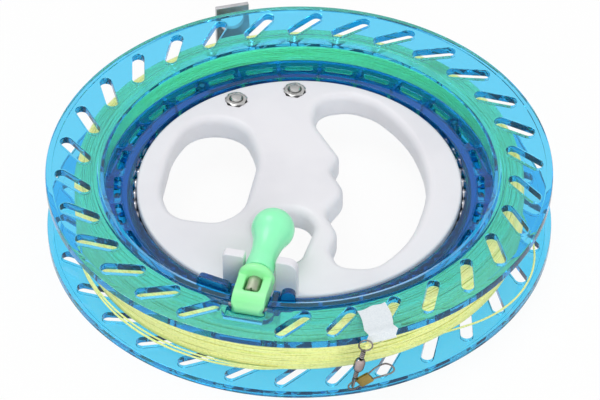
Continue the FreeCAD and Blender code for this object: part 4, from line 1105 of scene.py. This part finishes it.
core = Shape()
rings = []
for radius, height in ((80.3, -5.0), (87.2, -5.0), (87.8, -3.4), (87.8, 15.0), (87.2, 16.2),
                       (80.3, 16.2)):
    under_seat = min(height, 13.4)
    rings.append(core.ring([polar(radius, a, under_seat if abs(a - CRANK) < 9 else height)
                            for a in (360 * k / STEPS for k in range(STEPS))]))
core.bands(rings, closed=True)
packed = make_piece("line_core", core, line_yellow, 40)
for piece in (wound, packed):
    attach(piece, "wheel")


# ---- paper tab

def tab_shape():
    """Slip of thin paper on the upper flange, bent down over its rim, slightly rumpled."""
    shape = Shape()
    lift, fold = wander(0.12, (3, 7, 11)), wander(0.1, (5, 9, 13))
    path = [(85.5, 20.36), (88.0, 20.42), (90.5, 20.38), (93.0, 20.42), (95.5, 20.4),
            (97.0, 20.45), (97.6, 20.75), (98.6, 20.82), (99.6, 20.85), (100.1, 20.7),
            (100.2, 20.3), (100.25, 19.3), (100.25, 18.2), (100.25, 17.1), (100.2, 16.5)]
    tops, unders = [], []
    for k, (radius, height) in enumerate(path):
        row, row_under = [], []
        for s in range(13):
            share = s / 12
            start = 285.0 + 0.25 * math.sin(k * 0.9)
            angle = start + max(6.8, 7.9 - 0.2 * k) * share
            rough = 0.6 * (lift(share * 2.2 + k * 0.35) + fold(k * 0.5 - share))
            on_top = radius < 97.2
            r = radius + (0 if on_top else max(0.0, rough) * 0.5)
            z = height + (abs(rough) if on_top else 0)
            if k == 0:
                r += 0.4 * math.sin(share * 9) - share * 1.5
            row.append(polar(r + (0 if on_top else 0.1), angle, z + 0.1))
            row_under.append(polar(r, angle, z))
        tops.append(shape.ring(row))
        unders.append(shape.ring(row_under))
    sides = [([row[end] for row in tops], [row[end] for row in unders]) for end in (0, -1)]
    for one, two in (*zip(tops, tops[1:]), *zip(unders, unders[1:]), (tops[0], unders[0]),
                     (tops[-1], unders[-1]), *sides):
        shape.band(one, two, closed=False)
    return shape


tab = make_piece("paper_tab", tab_shape(), white_paper, 60)
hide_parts("tape_tab")
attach(tab, "wheel")


# ---- swivel and snap

def ring_points(radius, height, start, sweep, count, side=(1, 0)):
    """Points of an upright ring over a direction in plan, open unless it goes right round."""
    points = []
    for k in range(count + (sweep < 360)):
        angle = math.radians(start + sweep * k / count)
        out = radius * math.cos(angle)
        points.append((out * side[0], out * side[1], height + radius * math.sin(angle)))
    return points


def twist(top, low, turns, radius):
    """Wire wound tightly about a stem between two heights."""
    count = int(turns * 16)
    return [(radius * math.cos(math.tau * turns * k / count),
             radius * math.sin(math.tau * turns * k / count), top + (low - top) * k / count)
            for k in range(count + 1)]


upper_eye = Shape()
upper_eye.add(tube(ring_points(2.62, 0, -70, 320, 40), 0.33, 10))
upper_eye.add(tube([(0.1, 0, -2.4), (0, 0, -3.2), (0, 0, -8.5)], 0.42, 10))
upper_eye.add(tube(twist(-2.9, -6.9, 4.5, 0.62), 0.38, 8))
eye_top = make_piece("swivel_top_eye", upper_eye, bright_steel, 60, swivel_frame)
barrel = make_piece("swivel_body", lathe([
    (0.75, -7.3), (1.1, -7.35), (1.6, -7.7), (2.0, -8.4), (2.15, -9.3), (2.15, -11.3),
    (2.05, -12.0), (1.7, -12.8), (1.2, -13.25), (0.75, -13.3), (0.7, -12.9), (0.7, -7.7)],
    48, closed=True), barrel_steel, 50, swivel_frame)
lower_eye = Shape()
lower_eye.add(tube([(0, 0, -12.2), (0, 0, -17.1)], 0.42, 10))
lower_eye.add(tube(twist(-13.6, -16.7, 4, 0.6), 0.36, 8))
lower_eye.add(tube(ring_points(2.15, -19.45, 0, 360, 36, (0, 1)), 0.35, 10, closed=True))
eye_low = make_piece("swivel_low_eye", lower_eye, bright_steel, 60, swivel_frame)
for piece, node, body in ((eye_top, "swivel_eye_upper", "swivel_top"),
                          (barrel, "swivel_barrel", "swivel_middle"),
                          (eye_low, "swivel_eye_lower", "swivel_bottom")):
    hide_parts(node)
    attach(piece, body)

snap_frame = shift(21.412, SWIVEL_Y, -1.989) @ turn(-37, "Y")


def smooth_line(points, parts=6):
    """Points joined by a smooth curve that runs through each of them."""
    spots = [Vector(point) for point in points]
    line = []
    for k in range(len(spots) - 1):
        p0, p1 = spots[max(k - 1, 0)], spots[k]
        p2, p3 = spots[k + 1], spots[min(k + 2, len(spots) - 1)]
        for part in range(parts):
            t = part / parts
            line.append(0.5 * ((2 * p1) + (p2 - p0) * t + (2 * p0 - 5 * p1 + 4 * p2 - p3) * t * t
                               + (3 * p1 - p0 - 3 * p2 + p3) * t ** 3))
    return [*line, spots[-1]]


def snap_loop():
    """Spring wire: one long loop through the sleeve, hooked at the left, wide at the right."""
    flat = [(2.4, 0.9), (0.6, 1.35), (-1.2, 1.5), (-2.7, 0.95), (-3.05, -0.2), (-2.4, -1.3),
            (-0.8, -1.5), (1.5, -1.5), (5.6, -1.6), (8.2, -1.8), (12.0, -2.7), (14.6, -3.3),
            (16.6, -2.5), (16.95, -0.1), (15.8, 1.95), (13.6, 2.55), (11.0, 2.5), (8.6, 2.0),
            (6.0, 1.5), (3.0, 1.45)]
    return smooth_line([(x, 0.25 * math.sin(k), z) if 0 < k < 3 else (x, 0, z)
                        for k, (x, z) in enumerate(flat)])


wire = make_piece("snap_spring", tube(snap_loop(), 0.35, 10), bright_steel, 60, snap_frame)
plate = make_piece("snap_sleeve", box(1.5, 7.3, -0.75, 0.75, -2.15, 2.15), brass, 30, snap_frame)
round_edges(plate, 0.35, 3, 40)
for piece, node, name in ((wire, "snap_wire", "bright_steel"),
                          (plate, "snap_plate", "brass_barrel")):
    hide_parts(node)
    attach(piece, "snap")


# ---- floor and light

def floor_material():
    """White floor that keeps a soft shadow; the camera, metal and glass see it near white."""
    material, tree, shader, place = nodes_of("floor")
    tones = [(0.3, (0.93, 0.93, 0.93)), (0.7, (0.95, 0.95, 0.95))]
    feed(tree, shader, Base_Color=ramp(tree, noise(tree, place, 6, 2.0), tones), Roughness=0.9,
         Specular_IOR_Level=0.1)
    mix_shaders(tree, seen_directly(tree, 0.93), shader.outputs["BSDF"],
                add_node(tree, "Emission", "Emission", Strength=1.0),
                tree.nodes["Material Output"])
    return material


FLOOR_SIZE, FLOOR_HEIGHT = 6, -0.01275         # metres
floor_mesh = bpy.data.meshes.new("floor")
floor_mesh.from_pydata([(x * FLOOR_SIZE, y * FLOOR_SIZE, FLOOR_HEIGHT)
                        for x, y in ((-1, -1), (1, -1), (1, 1), (-1, 1))], [], [(0, 1, 2, 3)])
floor_mesh.materials.append(floor_material())
floor = add_object("floor", floor_mesh)
floor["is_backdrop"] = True

world = bpy.data.worlds.new("studio")
scene.world = world
world.use_nodes = True
tree = world.node_tree
surround = tree.nodes["Background"]
feed(tree, surround, Color=(1, 1, 1, 1), Strength=0.62)
mix_shaders(tree, seen_directly(tree, 1.0), surround.outputs["Background"],
            add_node(tree, "Background", "Background", Color=(1, 1, 1, 1), Strength=1.0),
            tree.nodes["World Output"])


def add_lamp(name, place, width, power):
    """Round lamp that looks at the object's middle."""
    data = bpy.data.lights.new(name, "AREA")
    data.shape = "DISK"
    data.size = width
    data.energy = power
    lamp = add_object(name, data)
    lamp.location = place
    lamp.rotation_euler = (-Vector(place)).to_track_quat("-Z", "Y").to_euler()
    return lamp


add_lamp("key", (-0.5, 0.4, 1.5), 0.9, 7.0)
fill = add_lamp("fill", (0.35, -1.4, 0.75), 1.1, 9.0)
fill.visible_glossy = False

scene.view_settings.view_transform = "Standard"

low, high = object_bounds()
